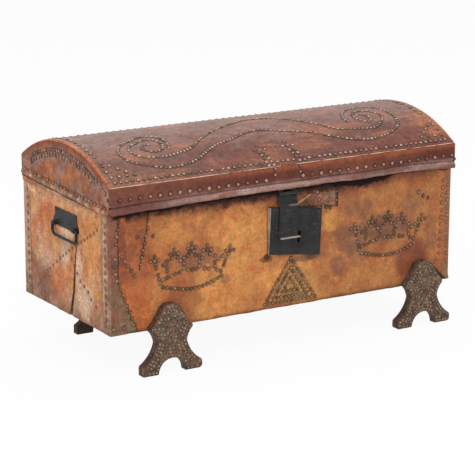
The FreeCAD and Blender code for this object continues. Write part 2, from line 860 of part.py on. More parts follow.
def make_lock():
    corners = case_corners(as_size(0))
    plate_y = (out(S.case_proud_top + S.overrun), out(S.back_plate))
    reach = (-S.case_left - S.overrun, S.case_right + S.overrun)
    heights = (case_top - S.case_height - S.case_fall - S.overrun, case_top + S.overrun)
    outer = case_solid("case_outer", as_size(0))
    inner = case_solid("case_inner", S.case_sheet)
    behind = block("case_behind", reach, (plate_y[1], front + S.overrun), heights)
    notch_low = staple_z - S.staple_height / 2 - S.notch_floor_gap
    notch = block(
        "staple_notch",
        (hasp_x - S.notch_width / 2, hasp_x + S.notch_width / 2),
        plate_y,
        (notch_low, heights[1]),
    )
    key_z = case_top - S.keyhole_drop
    key_y = out(S.case_proud_top + S.overrun)
    hole = rod("keyhole_round", Y_AXIS, (S.keyhole_place, key_y, key_z), S.keyhole_radius,
               S.case_proud_top)
    slot = block(
        "keyhole_slot",
        (S.keyhole_place - S.keyhole_slot / 2, S.keyhole_place + S.keyhole_slot / 2),
        (key_y, key_y + S.case_proud_top),
        (key_z - S.keyhole_slot_height, key_z),
    )
    node(cut("lock_case_cut", outer, inner, behind, notch, hole, slot), "lock_case")

    bolt_left = hasp_x + S.bolt_start
    bolt_z = (staple_z - S.bolt_height / 2, staple_z + S.bolt_height / 2)
    bolt_out = S.bolt_stand_off + S.bolt_thickness
    guide_top = bolt_z[0] - S.slide_gap
    spring_z = bolt_z[1] + S.slide_gap
    spring_end = bolt_left + S.bolt_length - S.staple_width
    post_x = (spring_end - S.spring_post, spring_end)
    post_z = (spring_z + S.spring_sheet, spring_z + S.spring_sheet + S.spring_post_height)
    base = plate("lock_back", "XZ_Plane", corners[0], polygon(corners), S.back_plate, (0, front, 0))
    pieces = [base]
    for name, start in (("first", S.first_guide_place), ("second", S.second_guide_place)):
        across = (bolt_left + start, bolt_left + start + S.guide_width)
        pieces.append(block(name + "_bolt_guide", across, (out(bolt_out), out(0)),
                            (guide_top - S.guide_height, guide_top)))
    pieces.append(block("spring_post", post_x, (out(bolt_out), out(0)), post_z))
    node(fuse("lock_back_whole", *pieces), "lock_back_plate")

    bolt_y = (out(bolt_out), out(S.bolt_stand_off))
    bar = block("bolt_bar", (bolt_left, bolt_left + S.bolt_length), bolt_y, bolt_z)
    talon_x = bolt_left + S.bolt_talon_place
    talon = block("bolt_talon", (talon_x, talon_x + S.bolt_talon_width), bolt_y,
                  (bolt_z[0] - S.bolt_talon, bolt_z[0]))
    node(fuse("bolt_whole", bar, talon), "lock_bolt")

    # a flat spring held under the post, bowed up in the middle and pressing near the bolt's end
    free = bolt_left + S.spring_post
    middle = (free + post_x[0]) / 2
    rise = S.spring_arch
    thick = S.spring_sheet
    low = spring_z
    start = (post_x[1], low)
    steps = [
        line((post_x[1], low + thick)),
        line((post_x[0], low + thick)),
        arc((middle, low + thick + rise), (free, low + thick)),
        line((free, low)),
        arc((middle, low + rise), (post_x[0], low)),
        line(start),
    ]
    spring_at = (0, out(S.bolt_stand_off), 0)
    spring = plate("lock_spring", "XZ_Plane", start, steps, S.spring_width, spring_at)
    node(spring, "lock_spring")


def make_handles():
    middle = front + S.handle_setback
    top = rim - S.handle_top_drop
    low = top - S.handle_height
    half = S.handle_width / 2
    half_top = S.handle_top_width / 2
    axis_z = low + S.eye_radius
    eye_far = half - S.bail_radius * 2 - S.eye_arm_gap
    points = [
        (middle - half, low),
        (middle + half, low),
        (middle + half, low + S.handle_lug_height),
        (middle + half_top, low + S.handle_lug_height * 2),
        (middle + half_top, top),
        (middle - half_top, top),
        (middle - half_top, low + S.handle_lug_height * 2),
        (middle - half, low + S.handle_lug_height),
    ]
    for label, side in (("left", -1), ("right", 1)):
        face = half_body * side
        plate_x = face if side > 0 else face - S.handle_sheet
        axis_x = face + side * S.eye_stand_off
        steps = polygon(points)
        pieces = [plate(label + "_handle_sheet", "YZ_Plane", points[0], steps,
                        S.handle_sheet, (plate_x, 0, 0))]
        for name, start in (("near", middle - eye_far), ("far", middle + eye_far - S.eye_length)):
            name = "%s_%s_eye" % (label, name)
            pieces.append(rod(name, Y_AXIS, (axis_x, start, axis_z), S.eye_radius, S.eye_length))
        whole = fuse(label + "_handle_whole", *pieces)
        bore_start = (axis_x, middle - half - S.overrun, axis_z)
        bore = rod(label + "_handle_bore", Y_AXIS, bore_start, S.bail_radius + S.pin_fit,
                   S.handle_width + S.overrun * 2)
        inside = block(
            label + "_handle_inside",
            (face, face + S.leather) if side < 0 else (face - S.leather, face),
            (middle - half - S.overrun, middle + half + S.overrun),
            (low - S.overrun, top + S.overrun),
        )
        node(cut(label + "_handle_cut", whole, bore, inside), label + "_handle_plate")
        make_bail(label, side, middle, axis_x, axis_z, half, eye_far)


def make_bail(label, side, middle, axis_x, axis_z, half, eye_far):
    """The hanging wire: two pins turned in through the eyes, two arms and a rounded grip."""
    arm = half - S.bail_radius
    foot = axis_z - S.bail_drop + S.bail_radius
    pin = eye_far - S.eye_length
    elbow = S.bail_elbow
    corner = S.bail_corner
    eased = 1 - cosine(as_size(QUARTER / 2))
    body = doc.addObject("PartDesign::Body", label + "_bail")
    path = sketch_on(body, "YZ_Plane", label + "_bail_path", (0, 0, axis_x))
    steps = []
    start = (middle - pin, axis_z)
    for way in (-1, 1):
        outer = middle + way * arm
        turn = [
            ((outer - way * elbow), axis_z),
            ((outer - way * elbow * eased), axis_z - elbow * eased),
            (outer, axis_z - elbow),
            (outer, foot + corner),
            (outer - way * corner * eased, foot + corner * eased),
            (outer - way * corner, foot),
        ]
        if way < 0:
            steps += [line(turn[0]), arc(turn[1], turn[2]), line(turn[3]), arc(turn[4], turn[5])]
        else:
            steps += [line(turn[5]), arc(turn[4], turn[3]), line(turn[2]), arc(turn[1], turn[0])]
    steps.append(line((middle + pin, axis_z)))
    draw(path, start, steps, closed=False)
    profile = sketch_on(body, "XZ_Plane", label + "_bail_section", (axis_x, axis_z, -(middle - pin)))
    wire = profile.addGeometry(Part.Circle(Vector(), Z_AXIS, S.bail_radius.value), False)
    profile.addConstraint(Sketcher.Constraint("Coincident", wire, 3, -1, 1))
    index = profile.addConstraint(Sketcher.Constraint("Radius", wire, S.bail_radius.value))
    profile.setExpression("Constraints[%d]" % index, S.bail_radius.formula)
    pipe = body.newObject("PartDesign::AdditivePipe", label + "_bail_pipe")
    pipe.Profile = profile
    pipe.Spine = path
    node(body, label + "_handle_bail")


# The flat left on a nail's point, as a share of its wire.
NAIL_TIP_share = 0.25
FULL_TURN = 360


def nail_shape(head, rise, wire, length):
    """A domed head on a pointed shank. The head's underside is at the origin and faces -Z."""
    radius = head.value / 2
    tip = wire.value * NAIL_TIP_share
    rim_point = Vector(radius, 0, 0)
    top = Vector(0, 0, rise.value)
    dome_depth = (radius * radius - rise.value * rise.value) / (2 * rise.value)
    dome = math.hypot(radius, dome_depth)
    half_turn = math.atan2(radius, dome_depth) / 2
    middle = Vector(dome * math.sin(half_turn), 0, dome * math.cos(half_turn) - dome_depth)
    shank = Vector(wire.value, 0, 0)
    point = Vector(tip, 0, -length.value)
    centre = Vector(0, 0, -length.value)
    edges = [
        Part.LineSegment(centre, point),
        Part.LineSegment(point, shank),
        Part.LineSegment(shank, rim_point),
        Part.Arc(rim_point, middle, top),
        Part.LineSegment(top, centre),
    ]
    face = Part.Face(Part.Wire([edge.toShape() for edge in edges]))
    return face.revolve(Vector(), Z_AXIS, FULL_TURN)


class Nails:
    """One node of nails: alike solids that never touch one another."""

    def __init__(self, label):
        self.label = label
        self.solids = []
        self.heads = []

    def drive(self, shape, head, place, facing):
        """Sets one nail with its head facing this way, unless its head would touch another."""
        reach = head.value / 2
        for other, other_reach in self.heads:
            if other.distanceToPoint(place) < reach + other_reach + S.nail_gap.value:
                return
        nail = shape.copy()
        nail.Placement = FreeCAD.Placement(place, FreeCAD.Rotation(Z_AXIS, facing))
        self.solids.append(nail)
        self.heads.append((place, reach))

    def finish(self):
        feature = doc.addObject("Part::Feature", self.label)
        feature.Shape = Part.makeCompound(self.solids)
        feature.Placement = FreeCAD.Placement()
        return node(feature, self.label)


SMALL = (nail_shape(S.nail_head, S.nail_rise, S.nail_wire, S.nail_shank), S.nail_head)
TINY = (nail_shape(S.foot_nail_head, S.foot_nail_rise, S.nail_wire, S.nail_shank), S.foot_nail_head)
BIG = (nail_shape(S.big_nail_head, S.big_nail_rise, S.nail_wire, S.nail_shank), S.big_nail_head)
IRON = (nail_shape(S.iron_head, S.iron_rise, S.iron_wire, S.iron_nail), S.iron_head)
LONG_IRON = (nail_shape(S.iron_head, S.iron_rise, S.iron_wire, S.long_iron_nail), S.iron_head)
CASE_IRON = (nail_shape(S.iron_head, S.iron_rise, S.iron_wire, S.case_nail), S.iron_head)


def spaced(points, pitch, smooth=False):
    """Points at an even pitch along straight runs, or along a curve through the points."""
    places = [Vector(x, y, 0) for x, y in points]
    if smooth:
        curve = Part.BSplineCurve()
        curve.interpolate(places)
        wires = [curve.toShape()]
    else:
        wires = [Part.makeLine(a, b) for a, b in zip(places, places[1:])]
    found = []
    for wire in wires:
        count = max(2, int(round(wire.Length / pitch)) + 1)
        found += wire.discretize(Number=count)
    return [(place.x, place.y) for place in found]


def scaled(shares, across, up, at=(0, 0)):
    return [(at[0] + x * across, at[1] + y * up) for x, y in shares]


def on_front(x, z):
    """A place on the front, on the leather or a corner strip, by X and height above the bottom."""
    on_strip = abs(x) > (half_body - S.strip_on_front).value
    return Vector(x, front.value - (S.strip.value if on_strip else 0), bottom.value + z)


# The crowns on the front, in shares of their width from the middle and of their height.
CROWN_LEFT_shares = ((-0.475, 0.8), (-0.45, 0.62), (-0.43, 0.45), (-0.41, 0.24))
CROWN_BASE_shares = ((-0.37, 0.14), (-0.26, 0.08), (-0.13, 0.02), (0.03, 0.0), (0.22, 0.07), (0.37, 0.2))
CROWN_BAND_shares = ((-0.37, 0.32), (-0.24, 0.4), (-0.1, 0.46), (0.05, 0.45), (0.24, 0.4), (0.36, 0.31))
CROWN_RIGHT_shares = ((0.385, 0.28), (0.395, 0.45), (0.43, 0.62), (0.478, 0.78))
CROWN_POINTS_shares = (
    (-0.475, 0.8), (-0.32, 0.61), (-0.232, 0.9), (-0.11, 0.63), (-0.01, 0.98),
    (0.083, 0.62), (0.185, 0.87), (0.285, 0.56), (0.478, 0.78),
)
TREFOIL_share = 0.05
CROWN_WIDTH_share = 0.222
CROWN_HEIGHT_share = 0.34
LEFT_CROWN_shares = (-0.549, 0.285)
RIGHT_CROWN_shares = (0.612, 0.297)
# The triangle under the lock, in shares of its base and height.
TRIANGLE_BASE_share = 0.149
TRIANGLE_HEIGHT_share = 0.36
TRIANGLE_shares = (0.0156, 0.044)
NESTED_shares = (1.0, 0.66, 0.3)
# Single rows on the front, in shares of half the body's width and of its height.
FRONT_ROWS_shares = (
    ((-0.79, 0.89), (-0.806, 0.77), (-0.824, 0.66), (-0.834, 0.545)),
    ((-0.955, 0.68), (-0.87, 0.465)),
    ((-0.951, 0.41), (-0.926, 0.28), (-0.896, 0.175), (-0.875, 0.065)),
    ((0.17, 0.925), (0.182, 0.86), (0.205, 0.8), (0.25, 0.776)),
    ((0.288, 0.91), (0.286, 0.836)),
    ((-0.853, 0.772), (-0.767, 0.762)),
    ((0.798, 0.8), (0.828, 0.762), (0.86, 0.74)),
)
# Upright rows on the corner strips of the front.
STRIP_ROWS_shares = (
    ((-0.953, 0.915), (-0.974, 0.68), (-0.974, 0.5), (-0.958, 0.39)),
    ((-0.985, 0.055), (-0.93, 0.055)),
    ((0.953, 0.875), (0.945, 0.55), (0.938, 0.24)),
    ((0.984, 0.89), (0.982, 0.5), (0.985, 0.16)),
)


def crown_nails(nails, at_shares):
    across = CROWN_WIDTH_share * S.body_width.value
    up = CROWN_HEIGHT_share * S.body_height.value
    at = (at_shares[0] * half_body.value, at_shares[1] * S.body_height.value)
    tips = scaled(CROWN_POINTS_shares, across, up, at)
    for index, tip in enumerate(tips):
        reach = TREFOIL_share * across
        leaves = ((-1, 0), (1, 0), (0, 1)) if index % 2 == 0 else ((0, 0), (0, 1.3), (0, -1))
        for x, z in leaves:
            nails.drive(*SMALL, on_front(tip[0] + x * reach, tip[1] + z * reach), -Y_AXIS)
    runs = [
        (CROWN_LEFT_shares, False),
        (CROWN_BASE_shares, True),
        (CROWN_BAND_shares, True),
        (CROWN_RIGHT_shares, False),
        (CROWN_POINTS_shares, False),
    ]
    for shares, smooth in runs:
        for x, z in spaced(scaled(shares, across, up, at), S.figure_pitch.value, smooth):
            nails.drive(*SMALL, on_front(x, z), -Y_AXIS)


def triangle_nails(nails):
    base = TRIANGLE_BASE_share * S.body_width.value
    height = TRIANGLE_HEIGHT_share * S.body_height.value
    x = TRIANGLE_shares[0] * half_body.value
    low = TRIANGLE_shares[1] * S.body_height.value
    middle = low + height / 3
    for share in NESTED_shares:
        corners = [
            (x, middle + share * height * 2 / 3),
            (x - share * base / 2, middle - share * height / 3),
            (x + share * base / 2, middle - share * height / 3),
        ]
        for place in spaced(corners + corners[:1], S.figure_pitch.value):
            nails.drive(*SMALL, on_front(*place), -Y_AXIS)


def make_front_nails():
    nails = Nails("front_nails")
    crown_nails(nails, LEFT_CROWN_shares)
    crown_nails(nails, RIGHT_CROWN_shares)
    triangle_nails(nails)
    for shares in FRONT_ROWS_shares:
        row = scaled(shares, half_body.value, S.body_height.value)
        for place in spaced(row, S.loose_pitch.value):
            nails.drive(*SMALL, on_front(*place), -Y_AXIS)
    for shares in STRIP_ROWS_shares:
        row = scaled(shares, half_body.value, S.body_height.value)
        for place in spaced(row, S.border_pitch.value):
            nails.drive(*BIG, on_front(*place), -Y_AXIS)
    nails.finish()


# The saltire on each end, in shares of the body's depth and height.
SALTIRE_shares = (
    ((0.139, 0.817), (0.217, 0.741), (0.393, 0.602), (0.573, 0.438), (0.698, 0.31), (0.851, 0.117)),
    ((0.466, 0.526), (0.41, 0.431), (0.341, 0.328), (0.251, 0.27), (0.22, 0.219), (0.163, 0.182)),
)
# The rows on the end strips, in shares of the strip's width from the corner and of the body's height.
END_STRIP_share = 0.68
END_STRIP_FRONT_shares = (0.12, 0.88)
END_STRIP_BACK_shares = (0.08, 0.9)
BACK_ROW_shares = (0.12, 0.88)


def make_end_nails():
    nails = Nails("end_nails")
    low = bottom.value
    for side in (-1, 1):
        face = side * half_body.value
        strip = side * (half_body + S.strip).value
        facing = side * X_AXIS
        for shares in SALTIRE_shares:
            row = scaled(shares, S.body_depth.value, S.body_height.value)
            for y, z in spaced(row, S.border_pitch.value):
                nails.drive(*SMALL, Vector(face, front.value + y, low + z), facing)
        inset = END_STRIP_share * S.strip_on_end.value
        for y, shares in (
            (front.value + inset, END_STRIP_FRONT_shares),
            (back.value - inset, END_STRIP_BACK_shares),
        ):
            ends = [(y, share * S.body_height.value) for share in shares]
            for y, z in spaced(ends, S.border_pitch.value):
                nails.drive(*BIG, Vector(strip, y, low + z), facing)
        # two upright rows close the strips on the back
        x = side * (half_body - S.strip_on_front / 2).value
        ends = [(x, share * S.body_height.value) for share in BACK_ROW_shares]
        for x, z in spaced(ends, S.row_pitch.value):
            nails.drive(*BIG, Vector(x, (back + S.strip).value, low + z), Y_AXIS)
    nails.finish()


def foot_wire(inset):
    """The foot's outline as a wire in a plane, drawn in by the inset."""
    start, steps = foot_outline(None, True)
    edges = []
    here = spot(start)
    for step in steps:
        end = spot(step[-1])
        if len(step) == 1:
            edges.append(Part.LineSegment(here, end).toShape())
        else:
            edges.append(Part.Arc(here, spot(step[0]), end).toShape())
        here = end
    face = Part.Face(Part.Wire(edges))
    return face.makeOffset2D(-inset, 0, False, False, True)


ROUNDS_OF_FOOT_NAILS = 4
FOOT_FIXING_share = 0.1
FOOT_FIXING_RISE_share = 0.3


def foot_fixings(foot_x, bearer_x):
    """The iron nails under the leather of a front foot: two into the body and one into the bearer."""
    spread = FOOT_FIXING_share * S.foot_width.value / 2
    high = bottom.value + FOOT_FIXING_RISE_share * S.foot_head_rise.value
    bearer_z = (bottom - S.bearer_height / 2).value
    return [(foot_x - spread, high), (foot_x + spread, high), (bearer_x, bearer_z)]


def make_foot_nails():
    nails = Nails("foot_nails")
    face = (front - S.foot_plank - S.foot_leather).value
    clear = (S.iron_head / 2 + S.nail_wire).value
    for side, foot in ((1, left_foot_x), (-1, right_foot_x)):
        foot_x = foot.value
        fixings = foot_fixings(foot_x, (foot + side * S.rear_foot_shift / 2).value)
        for number in range(ROUNDS_OF_FOOT_NAILS):
            inset = S.foot_nail_inset.value + number * S.foot_pitch.value
            for wire in foot_wire(inset).Wires:
                count = max(2, int(wire.Length / S.foot_pitch.value))
                for place in wire.discretize(Number=count)[:-1]:
                    x, z = foot_x + place.x, place.y
                    if all(math.hypot(x - at[0], z - at[1]) > clear for at in fixings):
                        nails.drive(*TINY, Vector(x, face, z), -Y_AXIS)
    nails.finish()


def on_dome(x, y):
    """A place on the lid's top leather and the way it faces, by X and distance behind the front."""
    across = front.value + y - dome_y.value
    angle = math.asin(across / dome_radius.value)
    facing = Vector(0, math.sin(angle), math.cos(angle))
    centre = Vector(x, dome_y.value, dome_z.value)
    return centre + facing * dome_radius.value, facing


# The double scroll on the lid, in shares of half the body's width and of its depth.
SCROLL_LOWER_shares = (
    (-0.56, 0.225), (-0.543, 0.29), (-0.555, 0.365), (-0.61, 0.4), (-0.68, 0.38), (-0.755, 0.335),
    (-0.81, 0.285), (-0.835, 0.22), (-0.82, 0.15), (-0.755, 0.105), (-0.665, 0.066), (-0.567, 0.068),
    (-0.473, 0.095), (-0.342, 0.178), (-0.193, 0.24), (0.0, 0.297), (0.12, 0.25), (0.233, 0.212),
    (0.353, 0.139), (0.455, 0.095), (0.584, 0.085), (0.702, 0.122), (0.782, 0.188), (0.805, 0.265),
    (0.803, 0.36), (0.765, 0.44), (0.665, 0.46), (0.575, 0.41), (0.53, 0.34), (0.518, 0.27),
)
SCROLL_UPPER_shares = (
    (-0.645, 0.285), (-0.675, 0.28), (-0.695, 0.25), (-0.677, 0.215), (-0.633, 0.205), (-0.592, 0.23),
    (-0.576, 0.285), (-0.6, 0.335), (-0.645, 0.345), (-0.705, 0.315), (-0.755, 0.28), (-0.771, 0.235),
    (-0.745, 0.18), (-0.69, 0.158), (-0.62, 0.15), (-0.53, 0.168), (-0.467, 0.19), (-0.364, 0.273),
    (-0.22, 0.373), (-0.078, 0.449), (0.05, 0.495), (0.147, 0.463), (0.264, 0.366), (0.338, 0.285),
    (0.41, 0.21), (0.523, 0.183), (0.62, 0.173), (0.696, 0.22), (0.742, 0.3), (0.71, 0.375),
    (0.645, 0.39), (0.595, 0.345), (0.593, 0.265), (0.635, 0.24), (0.667, 0.29), (0.64, 0.335),
)
TASSEL_shares = (((-0.107, -0.01), (-0.11, 0.11)), ((0.078, -0.002), (0.058, 0.105)))
TASSEL_WIDTH_share = 0.028
TASSEL_HEAD_shares = ((-0.03, 0.115), (0.03, 0.115), (0.0, 0.15), (0.0, 0.115))
BORDER_share = 0.008
SECOND_BORDER_share = 0.045
CORNER_RUN_shares = (0.965, 0.84)
CORNER_DEPTH_share = 0.16
SIDE_ROW_share = 0.97
SIDE_ROW_END_share = 0.74
REAR_ROW_share = 0.756


def make_lid_top_nails():
    nails = Nails("lid_top_nails")
    half = half_body.value
    depth = S.body_depth.value
    pitch = S.figure_pitch.value
    for shares in (SCROLL_LOWER_shares, SCROLL_UPPER_shares):
        for place in spaced(scaled(shares, half, depth), pitch, True):
            nails.drive(*SMALL, *on_dome(*place))
    for shares in TASSEL_shares:
        tip = shares[1]
        for x, y in TASSEL_HEAD_shares:
            place = ((tip[0] + x) * half, (shares[0][1] + y) * depth)
            nails.drive(*SMALL, *on_dome(*place))
        for x, y in spaced(scaled(shares, half, depth), pitch):
            for side in (-1, 1):
                nails.drive(*SMALL, *on_dome(x + side * TASSEL_WIDTH_share * half / 2, y))
    front_row = ((-CORNER_RUN_shares[0], BORDER_share), (CORNER_RUN_shares[0], BORDER_share))
    for place in spaced(scaled(front_row, half, depth), S.loose_pitch.value):
        nails.drive(*SMALL, *on_dome(*place))
    rows = [
        ((-CORNER_RUN_shares[0], REAR_ROW_share), (CORNER_RUN_shares[0], REAR_ROW_share)),
    ]
    for side in (-1, 1):
        outer = side * CORNER_RUN_shares[0]
        inner = side * CORNER_RUN_shares[1]
        edge = side * SIDE_ROW_share
        rows.append(((outer, CORNER_DEPTH_share), (inner, SECOND_BORDER_share)))
        rows.append(((outer, SECOND_BORDER_share), (inner, SECOND_BORDER_share)))
        rows.append(((edge, SECOND_BORDER_share), (edge, SIDE_ROW_END_share)))
    for shares in rows:
        for place in spaced(scaled(shares, half, depth), S.border_pitch.value):
            nails.drive(*SMALL, *on_dome(*place))
    nails.finish()


SKIRT_ROW_share = 0.47
SKIRT_ENDS_shares = (-0.953, 0.989)
SKIRT_COLUMN_shares = (0.66, 0.92)
END_ARC_shares = (-0.68, 0.76)
END_ARC_INSET_shares = (0.37, 0.55)
END_BASE_shares = (0.12, 0.36)
END_EDGE_shares = (
    (-0.02, 0.28), (-0.005, 0.5), (0.024, 0.74), (0.056, 0.95), (0.11, 1.13),
)


def make_lid_side_nails():
    nails = Nails("lid_side_nails")
    skirt = S.skirt_height.value
    row_z = rim.value + SKIRT_ROW_share * skirt
    lid_face = (lid_front - S.leather).value
    ends = [(share * half_body.value, row_z) for share in SKIRT_ENDS_shares]
    hasp_clear = (S.hasp_hinge_width / 2 + S.big_nail_head).value
    hinge_clear = (S.hinge_width / 2 + S.big_nail_head / 2).value
    for x, z in spaced(ends, S.row_pitch.value):
        # no nail of the row goes through the iron leaves of the hasp and the hinges
        if abs(x - hasp_x.value) > hasp_clear:
            nails.drive(*BIG, Vector(x, lid_face, z), -Y_AXIS)
        if abs(abs(x) - S.hinge_spread.value / 2) > hinge_clear:
            nails.drive(*BIG, Vector(x, back.value, z), Y_AXIS)
    # an upright row at the lid leaf on each side of the hasp
    for side in (-1, 1):
        x = hasp_x.value + side * hasp_clear
        heights = [(x, rim.value + share * skirt) for share in SKIRT_COLUMN_shares]
        for x, z in spaced(heights, S.figure_pitch.value):
            nails.drive(*SMALL, Vector(x, lid_face, z), -Y_AXIS)
    arcs = []
    reach = [share * lid_chord.value / 2 for share in END_ARC_shares]
    for share in END_ARC_INSET_shares:
        radius = dome_radius.value - share * S.dome_rise.value
        arc_points = []
        for y in (reach[0], reach[0] / 2, 0, reach[1] / 2, reach[1]):
            arc_points.append((dome_y.value + y, dome_z.value + math.sqrt(radius * radius - y * y)))
        arcs.append(arc_points)
    edge = scaled(END_EDGE_shares, S.body_depth.value, skirt, (front.value, rim.value))
    base = [
        (lid_front.value + S.board.value, rim.value + END_BASE_shares[0] * skirt),
        (lid_back.value - S.board.value, rim.value + END_BASE_shares[1] * skirt),
    ]
    for side in (-1, 1):
        face = side * half_lid.value
        facing = side * X_AXIS
        for row, pitch, smooth in (
            (arcs[0], S.figure_pitch, True),
            (arcs[1], S.loose_pitch, True),
            (edge, S.border_pitch, False),
            (base, S.loose_pitch, False),
        ):
            for y, z in spaced(row, pitch.value, smooth):
                nails.drive(*SMALL, Vector(face, y, z), facing)
    nails.finish()


CASE_NAIL_shares = (0.07, 0.93)
HANDLE_NAIL_shares = (0.3, 0.86)
LEAF_NAIL_shares = (0.2, 0.8)
CORNER_NAIL_shares = (0.262, 0.53, 0.775)
BOTTOM_NAIL_shares = (-0.75, -0.28, 0.3, 0.74)
BEARER_NAIL_shares = (0.2, 0.5, 0.8)
LID_CORNER_shares = (0.25, 0.6)


def make_iron_nails():
    nails = Nails("iron_nails")
    height = S.case_height.value
    width = (S.case_left + S.case_right).value
    for x_share in CASE_NAIL_shares:
        for z_share in CASE_NAIL_shares:
            x = -S.case_left.value + x_share * width
            z = case_top.value - S.case_fall.value * x_share - z_share * height
            proud = S.case_proud_top.value - case_slope.value * (case_top.value - z)
            nails.drive(*CASE_IRON, Vector(x, front.value - proud, z), -Y_AXIS)
    middle = (front + S.handle_setback).value
    half_top = S.handle_top_width.value / 2
    plate_low = (rim - S.handle_top_drop - S.handle_height).value
    for side in (-1, 1):
        x = side * (half_body + S.handle_sheet).value
        for y_side in (-1, 1):
            y = middle + y_side * (half_top - S.iron_head.value)
            z = plate_low + HANDLE_NAIL_shares[1] * S.handle_height.value
            nails.drive(*IRON, Vector(x, y, z), side * X_AXIS)
            y = middle + y_side * HANDLE_NAIL_shares[0] * half_top
            z = plate_low + HANDLE_NAIL_shares[0] * S.handle_height.value
            nails.drive(*IRON, Vector(x, y, z), side * X_AXIS)
        hinge_x = side * S.hinge_spread.value / 2
        leaf_top = (rim - S.hinge_leaf_start).value
        for x_share in LEAF_NAIL_shares:
            for z_share in LEAF_NAIL_shares:
                x = hinge_x + (x_share - 1 / 2) * S.hinge_width.value
                z = leaf_top - z_share * S.hinge_body_leaf.value
                nails.drive(*IRON, Vector(x, (back + S.hinge_sheet).value, z), Y_AXIS)
        # the end boards are held by nails through the front and back boards
        x = side * (half_boards - S.board / 2).value
        for share in CORNER_NAIL_shares:
            z = bottom.value + share * S.body_height.value
            nails.drive(*LONG_IRON, Vector(x, (board_front + S.iron_rise).value, z), -Y_AXIS)
            nails.drive(*LONG_IRON, Vector(x, (board_back - S.iron_rise).value, z), Y_AXIS)
    for share in BOTTOM_NAIL_shares:
        x = share * half_body.value
        z = (bottom + S.board / 2).value
        nails.drive(*LONG_IRON, Vector(x, (board_front + S.iron_rise).value, z), -Y_AXIS)
        nails.drive(*LONG_IRON, Vector(x, (board_back - S.iron_rise).value, z), Y_AXIS)
    for side, foot_x in ((1, left_foot_x), (-1, right_foot_x)):
        rear_x = (foot_x + side * S.rear_foot_shift).value
        foot_x = foot_x.value
        middle = (foot_x + rear_x) / 2
        plank_y = (front - S.foot_plank + S.iron_rise).value
        for x, z in foot_fixings(foot_x, middle):
            nails.drive(*LONG_IRON, Vector(x, plank_y, z), -Y_AXIS)
        bearer_z = (bottom - S.bearer_height / 2).value
        rear_y = (rear_foot_front + S.foot_plank - S.iron_rise).value
        for x in (middle - S.bearer_width.value / 4, middle + S.bearer_width.value / 4):
            nails.drive(*LONG_IRON, Vector(x, rear_y, bearer_z), Y_AXIS)
        for share in BEARER_NAIL_shares:
            y = (front + share * S.rear_foot_setback).value
            z = (bottom - S.bearer_height + S.iron_rise).value
            nails.drive(*IRON, Vector(middle, y, z), -Z_AXIS)
    nails.finish()


def make_lid_iron_nails():
    nails = Nails("lid_iron_nails")
    leaf_low = (rim + S.hinge_leaf_start).value
    for side in (-1, 1):
        hinge_x = side * S.hinge_spread.value / 2
        for x_share in LEAF_NAIL_shares:
            for z_share in LEAF_NAIL_shares:
                x = hinge_x + (x_share - 1 / 2) * S.hinge_width.value
                z = leaf_low + z_share * S.hinge_lid_leaf.value
                nails.drive(*IRON, Vector(x, (back + S.hinge_sheet).value, z), Y_AXIS)
        x = side * (half_lid_boards - S.board / 2).value
        for share in LID_CORNER_shares:
            z = rim.value + share * S.skirt_height.value
            nails.drive(*LONG_IRON, Vector(x, (lid_front + S.iron_rise).value, z), -Y_AXIS)
            nails.drive(*LONG_IRON, Vector(x, (lid_back - S.iron_rise).value, z), Y_AXIS)
        for number in range(STAVES):
            angle = (stave_angle * (number - (STAVES - 1) / 2)).value
            facing = Vector(0, math.sin(math.radians(angle)), math.cos(math.radians(angle)))
            centre = Vector(x, dome_y.value, dome_z.value)
            place = centre + facing * (wood_radius - S.iron_rise).value
            nails.drive(*LONG_IRON, place, facing)
    for share in LEAF_NAIL_shares:
        x = hasp_x.value + (share - 1 / 2) * S.hasp_hinge_width.value
        z = rim.value + share * S.hasp_leaf_height.value
        nails.drive(*IRON, Vector(x, (lid_front + S.iron_rise).value, z), -Y_AXIS)
    nails.finish()


def check():
    """Stops before anything is written if any step of the model has failed."""
    doc.recompute()
    for thing in doc.Objects:
        if "Invalid" in thing.State or "Error" in thing.State:
            raise RuntimeError("%s did not build" % thing.Name)
    for thing in NODES:
        if thing.Shape.isNull() or not thing.Shape.isValid() or not thing.Shape.Solids:
            raise RuntimeError("%s has no sound solid" % thing.Label)


def write():
    os.makedirs("parts", exist_ok=True)
    for thing in NODES:
        thing.Shape.exportStep("parts/%s.step" % thing.Label)


make_boards()
make_leathers()
make_corner_strip("front_left_corner_strip", -1, front, -1)
make_corner_strip("front_right_corner_strip", 1, front, -1)
make_corner_strip("back_left_corner_strip", -1, back, 1)
make_corner_strip("back_right_corner_strip", 1, back, 1)
make_feet()
make_lock()
make_handles()
make_hinges()
make_lid_boards()
make_staves()
make_lid_leathers()
make_hasp()
make_front_nails()
make_end_nails()
make_foot_nails()
make_iron_nails()
make_lid_top_nails()
make_lid_side_nails()
make_lid_iron_nails()
check()
write()
print("%d pieces, %d solids" % (len(NODES), sum(len(thing.Shape.Solids) for thing in NODES)))
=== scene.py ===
import math
import random

import bpy
import numpy as np
from bpy.props import FloatProperty, FloatVectorProperty, PointerProperty
from mathutils import Matrix, Vector, kdtree, noise


